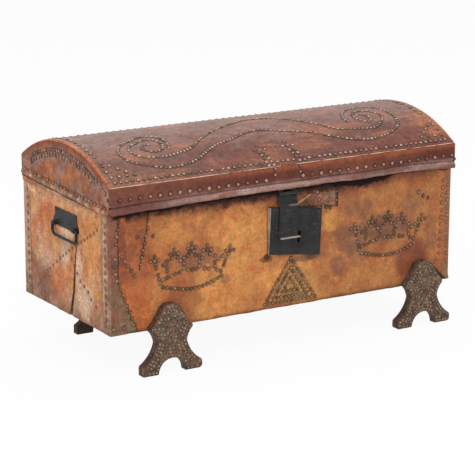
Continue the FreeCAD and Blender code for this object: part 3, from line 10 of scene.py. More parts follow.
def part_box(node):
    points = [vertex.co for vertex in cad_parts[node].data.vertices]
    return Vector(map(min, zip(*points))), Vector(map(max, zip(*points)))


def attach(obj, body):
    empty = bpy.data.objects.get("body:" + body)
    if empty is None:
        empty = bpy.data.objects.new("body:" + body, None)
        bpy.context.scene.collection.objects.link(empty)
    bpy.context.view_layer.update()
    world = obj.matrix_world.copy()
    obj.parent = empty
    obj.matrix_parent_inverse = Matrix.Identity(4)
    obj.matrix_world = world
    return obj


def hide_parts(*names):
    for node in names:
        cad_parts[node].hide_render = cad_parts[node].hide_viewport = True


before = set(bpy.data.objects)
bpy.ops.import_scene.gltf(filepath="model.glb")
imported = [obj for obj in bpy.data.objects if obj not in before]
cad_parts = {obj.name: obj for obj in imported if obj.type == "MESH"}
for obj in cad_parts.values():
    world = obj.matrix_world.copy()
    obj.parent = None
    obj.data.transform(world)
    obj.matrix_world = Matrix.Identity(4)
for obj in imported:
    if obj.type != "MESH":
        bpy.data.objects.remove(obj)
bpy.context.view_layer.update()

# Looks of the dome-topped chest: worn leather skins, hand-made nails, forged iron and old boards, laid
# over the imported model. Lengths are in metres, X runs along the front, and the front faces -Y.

bl_info = {
    "name": "Dome-topped leather chest",
    "version": (1, 0, 0),
    "blender": (4, 5, 0),
    "location": "3D View > Sidebar > Chest",
    "description": "Leather, nails, iron and boards of a dome-topped chest",
    "category": "Object",
}

MM = 0.001

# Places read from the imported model.
BODY_LOW, BODY_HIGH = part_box("front_leather")
BACK_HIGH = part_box("back_leather")[1]
SKIRT_LOW, SKIRT_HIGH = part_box("lid_front_leather")
DOME_LOW, DOME_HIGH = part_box("lid_top_leather")
STRIP_LOW, STRIP_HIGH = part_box("front_left_corner_strip")
CASE_LOW, CASE_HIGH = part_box("lock_case")
HASP_LOW, HASP_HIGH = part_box("hasp")
FRONT = BODY_LOW.y
BACK = BACK_HIGH.y
BOTTOM = BODY_LOW.z
RIM = BODY_HIGH.z
HALF = BODY_HIGH.x
HIDE = BODY_HIGH.y - BODY_LOW.y
HALF_LID = DOME_HIGH.x
HALF_CHORD = (DOME_HIGH.y - DOME_LOW.y) / 2
DOME_Y = (DOME_HIGH.y + DOME_LOW.y) / 2


def mesh_points(node):
    """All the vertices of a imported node, as rows of three numbers."""
    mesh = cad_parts[node].data
    points = np.zeros(len(mesh.vertices) * 3)
    mesh.vertices.foreach_get("co", points)
    return points.reshape(-1, 3)


def lip_height():
    """The highest point of the top leather's front edge."""
    points = mesh_points("lid_top_leather")
    return points[points[:, 1] < DOME_LOW.y + 0.1 * MM][:, 2].max()


LIP = lip_height()
DOME_RISE = DOME_HIGH.z - LIP
DOME_RADIUS = (HALF_CHORD ** 2 + DOME_RISE ** 2) / (2 * DOME_RISE)
DOME_Z = DOME_HIGH.z - DOME_RADIUS

# The lid's rolled edges, and the angle from the crest at which the front and back ones begin.
EDGE_ROLL = 4 * MM
ROLL_INNER = DOME_RADIUS - EDGE_ROLL
ROLL_ANGLE = math.asin((HALF_CHORD - EDGE_ROLL) / ROLL_INNER)

# Pitches of the grids that the skins are made of.
FRONT_GRID = 3.2 * MM
END_GRID = 3.4 * MM
LID_GRID = 3.7 * MM
LID_END_GRID = 3.6 * MM
LID_BACK_GRID = (6 * MM, 4 * MM)
PATCH_GRID = 2.8 * MM
BACK_GRID = 7 * MM
ROLL_GRID = 1.2 * MM
END_ROLL_GRID = 1.3 * MM

# The mended patch by the hasp: its sides, its bottom, its top and how proud it lies.
PATCH_LEFT = 0.022
PATCH_RIGHT = 0.133
PATCH_LOW = BOTTOM + 0.215
PATCH_TOP = BOTTOM + 0.252
PATCH_PROUD = 1.1 * MM

# Seam near the front's left corner, and the split and the short crack of the left end, from top to bottom.
LEFT_SEAM = [(-0.357, RIM), (-0.357, RIM - 0.011), (-0.36, RIM - 0.05), (-0.379, BOTTOM + 0.14)]
END_SPLIT = [(FRONT + 0.153, BOTTOM + 0.175), (FRONT + 0.161, BOTTOM + 0.133),
             (FRONT + 0.167, BOTTOM + 0.095), (FRONT + 0.172, BOTTOM + 0.056),
             (FRONT + 0.179, BOTTOM + 0.032), (FRONT + 0.186, BOTTOM)]
END_CRACK = [(FRONT + 0.312, BOTTOM + 0.022), (FRONT + 0.315, BOTTOM)]


def times(shade, factor):
    """A fixed colour made lighter or darker by a factor."""
    return tuple(c * factor for c in shade)


def clamped(value):
    """A value kept between 0 and 1."""
    return max(0.0, min(1.0, value))


def fall(away, reach):
    """1 at nought, falling evenly to 0 at this reach and staying there."""
    return max(0.0, 1 - away / reach)


# Sizes and colours that a user would change.


def colour(name, description, red, green, blue):
    """A colour property, written as it shows on a screen and kept as light."""
    light = [((c / 255 + 0.055) / 1.055) ** 2.4 for c in (red, green, blue)]
    return FloatVectorProperty(name=name, description=description, subtype="COLOR", size=3,
                               min=0, max=1, default=light)


class LeatherLook(bpy.types.PropertyGroup):
    ochre: colour("Ochre", "Best kept leather of the front", 204, 140, 80)
    # Orange also paints the highlight along the lid's rolled ends.
    orange: colour("Orange", "Strong orange near the left corner and the feet", 186, 104, 58)
    tan: colour("Tan", "Middle tone of the body's leather", 172, 108, 66)
    # Red brown also paints the brown shade under the flap on the front.
    red_brown: colour("Red brown", "Leather near the left corner and the right foot", 132, 74, 54)
    dull: colour("Dull brown", "Blotches on the right half of the front", 116, 82, 70)
    # Pale also paints the highlight along the lid's rolled edges.
    pale: colour("Pale", "Rubbed leather on the ends", 206, 172, 144)
    olive: colour("Olive", "Faded leather at the lower corners", 128, 112, 84)
    # Dark also paints the shadow under the flap and the lid, and the shade in the flap's crease and below the
    # lid's ledge.
    dark: colour("Dark", "Soiled leather under the flap and in the cracks", 30, 18, 14)
    yellow: colour("Yellow", "Yellow spot right of the lock", 216, 158, 84)
    lid_brown: colour("Lid brown", "Main colour of the lid's top", 104, 62, 50)
    lid_orange: colour("Lid orange", "Rubbed streaks on the lid's top", 160, 96, 60)
    # Lid grey also paints the sheen near the lid's crest.
    lid_grey: colour("Lid grey", "Dusty bloom near the lid's crest", 150, 122, 114)
    skirt: colour("Skirt", "Red-brown front of the lid", 96, 48, 38)
    # Flap is partly the leather's grey and partly painted sheen on the hanging flap.
    flap: colour("Flap", "Greyish band of the hanging flap", 150, 118, 110)
    strip: colour("Strips", "Leather strips on the corners", 136, 88, 70)
    strip_end: colour("Strips on the ends", "Rubbed part of the strips on the ends", 184, 146, 124)
    foot: colour("Feet", "Leather on the feet", 100, 78, 66)
    relief: FloatProperty(name="Relief", description="Depth of the hollows in the leather",
                          default=0.9 * MM, unit="LENGTH")
    dimple: FloatProperty(name="Dimple", description="How far a nail draws the leather in",
                          default=0.45 * MM, unit="LENGTH")


class NailLook(bpy.types.PropertyGroup):
    dark: colour("Dark brass", "Tarnish of the nails on the body", 88, 68, 54)
    bright: colour("Bright brass", "Rubbed tops of the nails on the body", 148, 122, 96)
    closed_dark: colour("Closed in, low", "Foot of the nails that the leather has closed round", 86, 60, 46)
    closed: colour("Closed in, top", "Tops of the nails that the leather has closed round", 144, 106, 80)
    foot_dark: colour("Foot tarnish", "Tarnish of the nails on the feet", 76, 62, 50)
    foot_bright: colour("Foot tops", "Rubbed tops of the nails on the feet", 152, 134, 110)
    lid_dark: colour("Lid tarnish", "Tarnish of the nails on the lid's top", 92, 74, 64)
    lid_bright: colour("Lid tops", "Rubbed tops of the nails on the lid's top", 178, 158, 138)
    side_dark: colour("Side tarnish", "Tarnish of the nails round the lid's sides", 92, 60, 50)
    side_bright: colour("Side tops", "Rubbed tops of the nails round the lid's sides", 176, 142, 122)
    tilt: FloatProperty(name="Tilt", description="How far a nail may lean", default=math.radians(7),
                        subtype="ANGLE")


class IronLook(bpy.types.PropertyGroup):
    black: colour("Black iron", "Iron of the lock, hasp and handles", 36, 34, 34)
    blue: colour("Blue iron", "Cooler bloom on the iron", 48, 48, 51)
    worn: colour("Worn iron", "Rubbed edges of the iron", 134, 132, 126)
    # Rubbed paints the highlights on the hasp's lip and bend and on the lock case's left edge.
    rubbed: colour("Rubbed iron", "Lip of the hasp and left edge of the lock", 190, 174, 156)
    rust: colour("Rust", "Rust in the hollows of the iron", 58, 44, 38)


class WoodLook(bpy.types.PropertyGroup):
    light: colour("Light wood", "Pale grain of the boards", 168, 128, 88)
    deep: colour("Deep wood", "Dark grain of the boards", 108, 74, 48)
    foot_light: colour("Foot wood", "Pale grain of the feet", 88, 66, 52)
    foot_deep: colour("Foot grain", "Dark grain of the feet", 46, 34, 28)


class StageLook(bpy.types.PropertyGroup):
    azimuth: FloatProperty(name="Azimuth", description="Direction of the camera", subtype="ANGLE",
                           default=math.radians(-31.711))
    elevation: FloatProperty(name="Elevation", description="Height of the camera", subtype="ANGLE",
                             default=math.radians(14.657))
    roll: FloatProperty(name="Roll", description="Lean of the camera", subtype="ANGLE",
                        default=math.radians(0.166))
    place: FloatVectorProperty(name="Camera", description="Place of the camera", unit="LENGTH",
                               default=(-2.4039, -3.8737, 1.4050))
    lens: FloatProperty(name="Lens", description="Focal length in millimetres on a 36 mm sensor",
                        default=154.22)
    sky: FloatProperty(name="Sky", description="Strength of the soft light all round", default=0.62)
    key: FloatProperty(name="Key", description="Power of the large lamp in watts", default=95)


# Materials.


class Link:
    """A value that changes over a surface. Sums and products of links add the nodes they need."""

    def __init__(self, finish, socket):
        self.finish = finish
        self.socket = socket

    def maths(self, operation, *others):
        return self.finish.node("ShaderNodeMath", {"operation": operation}, self, *others)

    def __add__(self, other):
        return self.maths("ADD", other)

    def __sub__(self, other):
        return self.maths("SUBTRACT", other)

    def __mul__(self, other):
        return self.maths("MULTIPLY", other)

    def __rsub__(self, other):
        return self.finish.node("ShaderNodeMath", {"operation": "SUBTRACT"}, other, self)

    __radd__ = __add__
    __rmul__ = __mul__

    def most(self, other):
        return self.maths("MAXIMUM", other)

    def least(self, other):
        return self.maths("MINIMUM", other)

    def size(self):
        return self.maths("ABSOLUTE")

    def step(self, start, end):
        """0 before start and 1 after end, eased between. Start may be the larger."""
        settings = {"interpolation_type": "SMOOTHSTEP"}
        if start > end:
            return 1 - self.step(end, start)
        return self.finish.node("ShaderNodeMapRange", settings, self, start, end, 0, 1)


class Tree:
    """A node tree, with the one method that adds a node to it."""

    def __init__(self, tree):
        self.tree = tree

    def node(self, kind, settings, *values, output=0, **named):
        """Adds a node: its settings first, then the values or links of its sockets."""
        made = self.tree.nodes.new(kind)
        for name, value in (settings or {}).items():
            setattr(made, name, value)
        for key, value in [*enumerate(values), *named.items()]:
            self.feed(made.inputs[key], value)
        return Link(self, made.outputs[output])

    def feed(self, socket, value):
        """Gives a socket its link, number, vector or colour."""
        if isinstance(value, Link):
            self.tree.links.new(value.socket, socket)
        elif isinstance(value, (int, float)):
            socket.default_value = value
        else:
            vector = tuple(value)
            socket.default_value = vector if len(socket.default_value) == len(vector) else (*vector, 1)

    def seen(self):
        """1 for what the camera sees, also in a mirror or through glass, and 0 for other light."""
        camera, glossy, clear = (
            self.node("ShaderNodeLightPath", None, output=ray)
            for ray in ("Is Camera Ray", "Is Glossy Ray", "Is Transmission Ray")
        )
        return camera.most(glossy).most(clear)


class Finish(Tree):
    """One material being made, with a method for every pattern that it needs."""

    def __init__(self, name):
        self.material = bpy.data.materials.new(name)
        self.material.use_nodes = True
        super().__init__(self.material.node_tree)
        self.clouds = {}
        self.shader = next(n for n in self.tree.nodes if n.type == "BSDF_PRINCIPLED")
        self.place = self.node("ShaderNodeTexCoord", None, output="Object")
        parts = self.node("ShaderNodeSeparateXYZ", None, self.place).socket.node
        self.x, self.y, self.z = (Link(self, socket) for socket in parts.outputs)

    def stretched(self, across, deep, up):
        """The place, squeezed along each axis, for streaks and grain."""
        return self.node("ShaderNodeVectorMath", {"operation": "MULTIPLY"}, self.place, (across, deep, up))

    def noise(self, scale, detail=4, rough=0.55, at=None, bend=0):
        """Cloudy noise. A pattern that was asked for before is used again."""
        key = (scale, detail, rough, at, bend)
        if key not in self.clouds:
            self.clouds[key] = self.node("ShaderNodeTexNoise", None, Vector=at or self.place, Scale=scale,
                                         Detail=detail, Roughness=rough, Distortion=bend)
        return self.clouds[key]

    def ragged(self, value, amount, *cloud):
        """A value pushed to and fro by noise, so that an edge along it isn't ruled."""
        return value + (self.noise(*cloud) - 0.5) * amount

    def cells(self, scale, feature="F1"):
        """Distance to the nearest of many scattered points."""
        return self.node("ShaderNodeTexVoronoi", {"feature": feature}, output="Distance",
                         Vector=self.place, Scale=scale)

    def attribute(self, name):
        """A number kept on the mesh, such as the soil and painted shade of a skin, or the tone of a nail."""
        return self.node("ShaderNodeAttribute", {"attribute_name": name}, output="Fac")

    def mix(self, share, first, second):
        """Two colours mixed by a share."""
        made = self.tree.nodes.new("ShaderNodeMix")
        made.data_type = "RGBA"
        made.clamp_factor = True
        for index, value in ((0, share), (6, first), (7, second)):
            self.feed(made.inputs[index], value)
        return Link(self, made.outputs[2])

    def scaled(self, base, factor):
        """A colour made lighter or darker by a factor."""
        return self.node("ShaderNodeVectorMath", {"operation": "SCALE"}, base, Scale=factor)

    def tint(self, base, share, by):
        """A colour multiplied by another, by a share."""
        changed = self.node("ShaderNodeVectorMath", {"operation": "MULTIPLY"}, base, by)
        return self.mix(share, base, changed)

    def patch(self, centre, reach, ragged=0.35, scale=22):
        """A soft-edged blotch about a place, ragged with noise: reach is its half size along each axis."""
        away = self.node("ShaderNodeVectorMath", {"operation": "SUBTRACT"}, self.place, centre)
        over = self.node("ShaderNodeVectorMath", {"operation": "DIVIDE"}, away, reach)
        far = self.node("ShaderNodeVectorMath", {"operation": "LENGTH"}, over, output="Value")
        return self.ragged(far, ragged * 3, scale, 4, 0.6).step(1.15, 0.6)

    def blot(self, base, shade, share, *patch):
        """A colour with a blotch of another over it."""
        return self.mix(self.patch(*patch) * share, base, shade)

    def close(self, base, roughness, height, depth, **fixed):
        """Joins the links to the shader. Fixed values go straight onto its sockets."""
        self.feed(self.shader.inputs["Base Color"], base)
        self.feed(self.shader.inputs["Roughness"], roughness)
        bump = self.node("ShaderNodeBump", None, Height=height, Distance=depth, Strength=1)
        self.feed(self.shader.inputs["Normal"], bump)
        for name, value in fixed.items():
            self.shader.inputs[name.replace("_", " ")].default_value = value
        return self.material


def hide(name, paint, shine=0.15, rough=0.55, contrast=1.0, mottle=0.6):
    """Worn leather. Paint gives its colour from the finish; grain, pores, creases, soil with painted shade,
    and rubbing with painted highlight are shared.
    """
    look = bpy.context.scene.chest_leather
    f = Finish(name)
    base = paint(f, look)
    shade = (f.noise(42, 4, 0.6) - 0.5) * 1.1 + (f.noise(125, 4, 0.65) - 0.5) * 1.2
    shade = shade + (f.noise(330, 3, 0.6) - 0.5) * 1.1
    base = f.tint(base, f.noise(64, 4, 0.6).step(0.5, 0.66) * mottle, (1.16, 0.8, 0.8))
    base = f.tint(base, f.noise(83, 4, 0.65, bend=0.5).step(0.5, 0.68) * mottle, (0.92, 1.06, 0.82))
    base = f.scaled(base, 1 + shade * (1.25 * contrast))
    pores = f.cells(300).step(0.2, 0.06) * f.noise(30, 3).step(0.48, 0.6)
    base = f.mix(pores * 0.6, base, look.dark)
    scuffs = f.noise(28, 6, 0.75, at=f.stretched(0.5, 0.5, 1.2)).step(0.6, 0.68)
    base = f.scaled(base, 1 + scuffs * 0.5)
    # The attribute read here carries the rubbed edges of cracks, and the rubbing and painted highlight along
    # the lid's rolled edges.
    wear = f.attribute("wear") * (0.3 + f.noise(110, 4, 0.7) * 1.4)
    base = f.mix(wear.step(0.25, 0.8), base, look.pale)
    # The attribute read here carries soil round the nails and in the cracks, and painted shadow under the
    # flap and the lid's ledge.
    soil = f.attribute("grime")
    base = f.mix((soil + (f.noise(190, 3) - 0.5) * soil).step(0.08, 0.8) * 0.92, base, look.dark)
    grain = f.cells(620, feature="SMOOTH_F1") * 0.5 + f.noise(900, 3, 0.6) * 0.5
    creases = f.noise(55, 5, 0.6, bend=1.2)
    height = grain * 0.5 + creases * 1.6 - pores * 0.8
    roughness = (rough + (f.noise(90, 4) - 0.5) * 0.3 + soil * 0.3).least(0.95)
    return f.close(base, roughness, height, 0.25 * MM, Specular_IOR_Level=shine)


def front_blots(f, base, shade, ragged, *places):
    """Blotches of one colour on the front: X, height over the bottom, half width, half height and share."""
    for x, up, wide, tall, share in places:
        base = f.blot(base, shade, share, (x, FRONT, BOTTOM + up), (wide, 1, tall), *ragged)
    return base


def end_blots(f, base, shade, ragged, *places):
    """Blotches of one colour on the ends: distance from the front, then as on the front."""
    for away, up, deep, tall, share in places:
        base = f.blot(base, shade, share, (0, FRONT + away, BOTTOM + up), (1, deep, tall), *ragged)
    return base


# Blotches of the front, as front_blots takes them.
FRONT_OCHRE = ((-0.115, 0.15, 0.085, 0.12, 0.8), (0.03, 0.06, 0.14, 0.05, 0.6), (0.19, 0.05, 0.09, 0.05, 0.5))
FRONT_DULL = (
    (0.165, 0.135, 0.045, 0.045, 0.6), (0.19, 0.2, 0.04, 0.026, 0.45), (0.14, 0.075, 0.03, 0.026, 0.5),
    (0.19, 0.1, 0.035, 0.025, 0.45), (0.26, 0.15, 0.08, 0.04, 0.55), (0.35, 0.2, 0.035, 0.035, 0.4),
    (0.4, 0.12, 0.02, 0.06, 0.4), (-0.24, 0.145, 0.035, 0.03, 0.4), (-0.165, 0.085, 0.012, 0.012, 0.45),
    (0.045, 0.105, 0.05, 0.012, 0.7),
)
BEHIND_CROWNS = ((-0.236, 0.145, 0.08, 0.028, 0.4), (0.263, 0.15, 0.08, 0.028, 0.4))
OVER_FEET = ((0.345, 0.055, 0.05, 0.06, 0.9), (-0.265, 0.055, 0.05, 0.06, 0.5))
# Blotches of the ends, as end_blots takes them.
END_ORANGE = ((0.28, 0.22, 0.05, 0.03, 0.5), (0.12, 0.22, 0.05, 0.03, 0.5))
END_PALE = ((0.145, 0.12, 0.02, 0.06, 0.95), (0.12, 0.05, 0.045, 0.06, 0.9), (0.21, 0.15, 0.03, 0.045, 0.75),
            (0.3, 0.11, 0.05, 0.03, 0.5))


def paint_front(f, look):
    """The front: ochre left of the lock, redder at the left corner, duller and blotched on the right, with
    painted shadow under the flap.
    """
    cloud = f.noise(9, 5, 0.6, bend=0.6)
    base = f.mix(cloud.step(0.36, 0.6), look.tan, look.ochre)
    base = front_blots(f, base, look.ochre, (), *FRONT_OCHRE)
    streaks = f.noise(16, 5, 0.65, bend=1).step(0.52, 0.66)
    base = f.mix(streaks * 0.7, base, look.orange)
    base = front_blots(f, base, look.yellow, (0.7, 34), (0.114, 0.185, 0.018, 0.03, 0.75))
    base = front_blots(f, base, look.olive, (0.3,), (0.02, 0.05, 0.06, 0.05, 0.3))
    left = f.ragged(f.x, 0.06, 14, 4).step(-0.335, -0.365)
    base = f.mix(left * 0.85, base, left_panel(f, look))
    right = f.ragged(f.x, 0.2, 12, 4).step(0.06, 0.15)
    base = f.mix(right * 0.4, base, look.red_brown)
    base = front_blots(f, base, look.dull, (0.55,), *FRONT_DULL)
    base = front_blots(f, base, look.dull, (0.4, 30), *BEHIND_CROWNS)
    stained = times(look.red_brown, 0.6)
    base = front_blots(f, base, stained, (0.6, 40), (-0.058, 0.118, 0.016, 0.011, 0.8))
    base = front_blots(f, base, look.dark, (0.5, 60), (-0.056, 0.12, 0.008, 0.007, 0.7))
    base = front_blots(f, base, stained, (0.6, 40), (0.062, 0.106, 0.014, 0.008, 0.6))
    base = front_blots(f, base, look.red_brown, (0.2,), *OVER_FEET)
    past = past_left_seam(f)
    lapped = f.mix(f.noise(38, 5, 0.7).step(0.46, 0.6), look.olive, look.strip)
    base = f.mix(past.step(0.0006, -0.0006), base, lapped)
    base = f.mix(past.size().step(0.0018, 0.0006) * 0.8, base, look.dark)
    # Painted shadow under the flap: a brown band and a black band below the lid, weaker right of the lock.
    shaded = 1 - f.x.step(0.25, 0.3) * 0.7
    brown = f.ragged(f.z, 0.06, 30, 5, 0.65).step(RIM - 0.05, RIM - 0.012)
    base = f.mix(brown * shaded * 0.85, base, look.red_brown)
    black = f.ragged(f.z, 0.05, 40, 5, 0.7).step(RIM - 0.032, RIM - 0.01)
    base = f.mix(black * shaded * 0.9, base, look.dark)
    return f.mix(f.z.step(BOTTOM + 0.01, BOTTOM) * 0.6, base, look.dark)


def left_panel(f, look):
    """Leather between the left strip and the slanting seam: red brown above and strong orange below."""
    base = f.mix(f.noise(30, 5, 0.6).step(0.4, 0.64) * 0.6, look.red_brown, look.orange)
    low = f.ragged(f.z, 0.06, 20, 4).step(BOTTOM + 0.16, BOTTOM + 0.07)
    return f.mix(low * 0.75, base, look.orange)


def past_left_seam(f):
    """How far a point lies to the right of the left strip's seam, which slants in towards the bottom."""
    seam = ((BOTTOM - f.z) * 0.42 - 0.384).most(-0.431)
    return f.ragged(f.x - seam, 0.01, 45, 4, 0.6)


def paint_end(f, look):
    """The ends: orange and rose tan, rubbed pale beside the split and greyer towards the bottom, with painted
    shade under the lid.
    """
    cloud = f.noise(11, 5, 0.66, bend=0.9)
    base = f.mix(cloud.step(0.36, 0.64), look.orange, look.ochre)
    base = f.mix(f.noise(13, 6, 0.7, bend=0.3).step(0.4, 0.66) * 0.62, base, look.pale)
    base = f.mix(f.noise(15, 5, 0.65).step(0.56, 0.7) * 0.5, base, look.red_brown)
    base = end_blots(f, base, look.ochre, (), (0.09, 0.19, 0.04, 0.08, 0.8))
    base = f.blot(base, look.pale, 0.3, (0, FRONT + 0.25, RIM - 0.02), (1, 0.2, 0.03), 0.4)
    low = f.ragged(f.z, 0.1, 20, 5).step(BOTTOM + 0.09, BOTTOM + 0.01)
    base = f.mix(low * 0.6, base, f.mix(f.noise(30, 5, 0.7).step(0.42, 0.6), look.dull, look.lid_grey))
    base = end_blots(f, base, look.dull, (0.6,), (0.33, 0.05, 0.08, 0.07, 0.65))
    base = end_blots(f, base, look.orange, (0.6,), *END_ORANGE)
    base = end_blots(f, base, look.pale, (0.45,), *END_PALE)
    low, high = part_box("left_handle_bail")
    middle = (low + high) / 2
    inside = f.patch((0, middle.y, middle.z - 0.004), (1, 0.045, 0.018), 0.7, 40) * f.x.step(0, -0.1)
    base = f.mix(inside * 0.9, base, times(look.pale, 1.3))
    base = end_blots(f, base, look.orange, (0.3,), (0.24, 0.065, 0.05, 0.05, 0.6))
    fringe = f.ragged(f.y, 0.03, 34, 5, 0.7).step(FRONT + 0.052, FRONT + 0.034)
    base = f.mix(fringe * 0.6, base, look.olive)
    # Painted shade under the lid's hem.
    base = f.mix(f.z.step(RIM - 0.012, RIM - 0.004) * 0.7, base, look.dark)
    return f.mix(f.z.step(BOTTOM + 0.012, BOTTOM) * 0.5, base, look.dull)


def paint_back(f, look):
    """The back: never shown off, so duller and more even than the front, with painted shade under the lid."""
    cloud = f.noise(7, 5, 0.6, bend=0.5)
    base = f.mix(cloud.step(0.36, 0.62), look.red_brown, look.tan)
    base = f.mix(f.noise(18, 5).step(0.55, 0.7) * 0.5, base, look.dull)
    # Painted shade under the lid along the top.
    return f.mix(f.z.step(RIM - 0.03, RIM - 0.006) * 0.7, base, look.dark)


def paint_dome(f, look):
    """The lid's top: dark brown with rubbed orange streaks along it, a painted grey sheen near the crest and
    a painted orange highlight along the rolled ends.
    """
    streaks = f.noise(11, 6, 0.62, at=f.stretched(0.4, 1.6, 1.6), bend=0.5)
    base = f.mix(streaks.step(0.44, 0.64), look.lid_brown, look.lid_orange)
    dark = f.noise(7, 5, 0.6, at=f.stretched(0.7, 1.3, 1.3))
    base = f.mix(dark.step(0.54, 0.4) * 0.75, base, look.skirt)
    base = f.mix(f.ragged(f.x, 0.3, 9, 4).step(-0.1, -0.36) * 0.4, base, look.dull)
    # Painted sheen near the crest.
    sheen = f.ragged(f.z, 0.04, 15, 5).step(DOME_HIGH.z - 0.03, DOME_HIGH.z)
    base = f.mix(sheen * 0.4, base, look.lid_grey)
    dusty = f.noise(24, 6, 0.7, at=f.stretched(0.6, 1.2, 1.2)).step(0.52, 0.7)
    base = f.mix(dusty * 0.2, base, look.lid_grey)
    # Painted orange highlight along the fold of the rolled ends.
    end_roll_highlight = f.x.size().step(HALF_LID - 0.009, HALF_LID - 0.004) * f.z.step(RIM + 0.05, RIM + 0.07)
    return f.mix(end_roll_highlight * 0.75, base, look.orange)


def paint_skirt(f, look):
    """The lid's front and back: red brown above, with the hanging flap grey, partly as painted sheen, and
    streaked with painted highlight.
    """
    cloud = f.noise(14, 5, 0.6, at=f.stretched(0.35, 1, 1))
    base = f.mix(cloud.step(0.42, 0.66) * 0.7, look.skirt, look.red_brown)
    upper = f.ragged(f.z, 0.01, 30, 4).step(RIM + 0.036, RIM + 0.05)
    base = f.mix(upper * f.x.step(-0.4, -0.1) * 0.4, base, look.orange)
    base = f.mix(f.x.step(-0.1, -0.3) * 0.25, base, look.dull)
    # The hanging flap: its grey is partly the leather's colour and partly painted sheen on the bulge; the
    # lighter middle patch and the streaks are painted highlight.
    sheen_streak = f.noise(60, 5, 0.65, at=f.stretched(0.12, 1, 1))
    band = f.ragged(f.z, 0.014, 14, 5).step(RIM + 0.024, RIM + 0.01)
    left = f.x.step(-0.24, -0.38)
    flap = f.mix(left * 0.75, look.flap, look.skirt)
    middle = f.patch((-0.02, FRONT, RIM), (0.24, 1, 0.06), 0.4)
    flap = f.mix(middle * 0.6, flap, times(look.flap, 1.5))
    base = f.mix(band * (0.35 + sheen_streak.step(0.36, 0.6) * 0.6), base, flap)
    return f.mix(band * sheen_streak.step(0.6, 0.7) * (1 - left * 0.5), base, times(look.flap, 1.6))


def paint_lid_end(f, look):
    """The lid's ends: mottled brown and orange, with a pale rubbed ledge near the hem."""
    cloud = f.noise(13, 5, 0.64, bend=0.7)
    base = f.mix(cloud.step(0.42, 0.62), look.red_brown, look.tan)
    base = f.mix(f.noise(22, 5, 0.65).step(0.5, 0.62) * 0.75, base, look.lid_grey)
    base = f.mix(f.noise(10, 5, 0.65).step(0.5, 0.6) * 0.5, base, look.dull)
    base = f.mix(f.noise(17, 5, 0.65, bend=0.4).step(0.54, 0.66) * 0.7, base, look.orange)
    across = (f.y - DOME_Y) * (1 / DOME_RADIUS)
    arc = (1 - across * across * 0.5) * DOME_RADIUS + (DOME_Z - HIDE)
    under = f.ragged(arc - f.z, 0.008, 40, 4)
    base = f.mix(under.step(0.016, 0.006) * 0.7, base, look.red_brown)
    dots = f.noise(60, 4, 0.7).step(0.42, 0.56) * under.step(0.012, 0.02) * under.step(0.056, 0.04)
    base = f.mix(dots * 0.7, base, look.lid_grey)
    hem = (f.z - ledge_line(f.y)).step(-0.006, -0.009)
    base = f.mix(hem * 0.8, base, f.mix(f.noise(20, 4).step(0.4, 0.6), look.tan, look.pale))
    ledge = f.ragged(f.z - ledge_line(f.y), 0.006, 50, 4).size().step(0.008, 0.003)
    return f.mix(ledge * (0.1 + f.noise(48, 4, 0.75).step(0.48, 0.6) * 0.6), base, look.pale)


def ledge_line(y):
    """Height of the ledge near the hem of the lid's ends: it falls towards the front."""
    return (y - FRONT) * 0.04 + (RIM - 0.005)


def paint_strip(f, look):
    """The corner strips: red brown above, faded to olive below."""
    cloud = f.noise(26, 5, 0.65)
    base = f.mix(cloud.step(0.45, 0.66) * 0.6, look.strip, look.red_brown)
    low = f.ragged(f.z, 0.12, 24, 5, 0.65).step(BOTTOM + 0.15, BOTTOM + 0.05)
    on_end = f.x.size().step(HALF - 0.001, HALF + 0.0005)
    faded = f.mix(on_end, look.strip, look.strip_end)
    faded = f.mix(f.noise(38, 5, 0.7).step(0.46, 0.6), times(look.olive, 0.85), faded)
    faded = f.mix(f.noise(24, 5, 0.7).step(0.54, 0.66) * 0.6, faded, look.dull)
    base = f.mix(low * 0.75 * f.x.step(0.2, -0.2), base, faded)
    base = f.mix(f.x.step(0.2, 0.3) * 0.6, base, look.tan)
    base = f.mix(f.noise(48, 5, 0.7).step(0.56, 0.66) * 0.5, base, look.lid_grey)
    rubbed = f.ragged(f.y, 0.03, 30, 5, 0.65).step(FRONT + 0.002, FRONT + 0.024)
    worn = f.mix(f.noise(19, 5, 0.7).step(0.42, 0.62), look.strip_end, look.pale)
    worn = f.mix(f.noise(12, 4, 0.6).step(0.54, 0.66) * 0.6, worn, look.ochre)
    base = f.mix(on_end * rubbed * f.z.step(BOTTOM + 0.02, BOTTOM + 0.09) * 0.85, base, worn)
    lapped = past_left_seam(f).step(-0.0006, 0.0006) * f.x.step(0, -0.1)
    lapped = lapped.most(f.ragged(f.x, 0.008, 45, 4, 0.6).step(0.429, 0.427) * f.x.step(0, 0.1))
    lapped = lapped * f.y.step(FRONT + 0.01, FRONT + 0.005)
    front = f.mix(f.x.step(-0.1, 0.1), left_panel(f, look), look.tan)
    base = f.mix(lapped, base, front)
    seam = past_left_seam(f).size().step(0.0018, 0.0006) * f.y.step(FRONT + 0.01, FRONT + 0.005)
    base = f.mix(seam * f.x.step(0, -0.1) * 0.8, base, look.dark)
    corner = f.patch((HALF, FRONT, BOTTOM + 0.01), (0.028, 0.02, 0.035), 0.5) * f.x.step(0.1, 0.2)
    base = f.mix(corner * 0.75, base, f.mix(f.noise(45, 5, 0.7).step(0.45, 0.6), look.olive, look.strip))
    # Painted shade at the curled lower corner of the front right strip.
    curled = f.ragged(f.z + f.x - (BOTTOM + 0.444), 0.006, 60, 3).step(0.003, -0.003)
    curled = curled * f.y.step(FRONT + 0.01, FRONT + 0.005)
    return f.mix(curled * f.x.step(0.1, 0.2) * 0.85, base, look.dark)


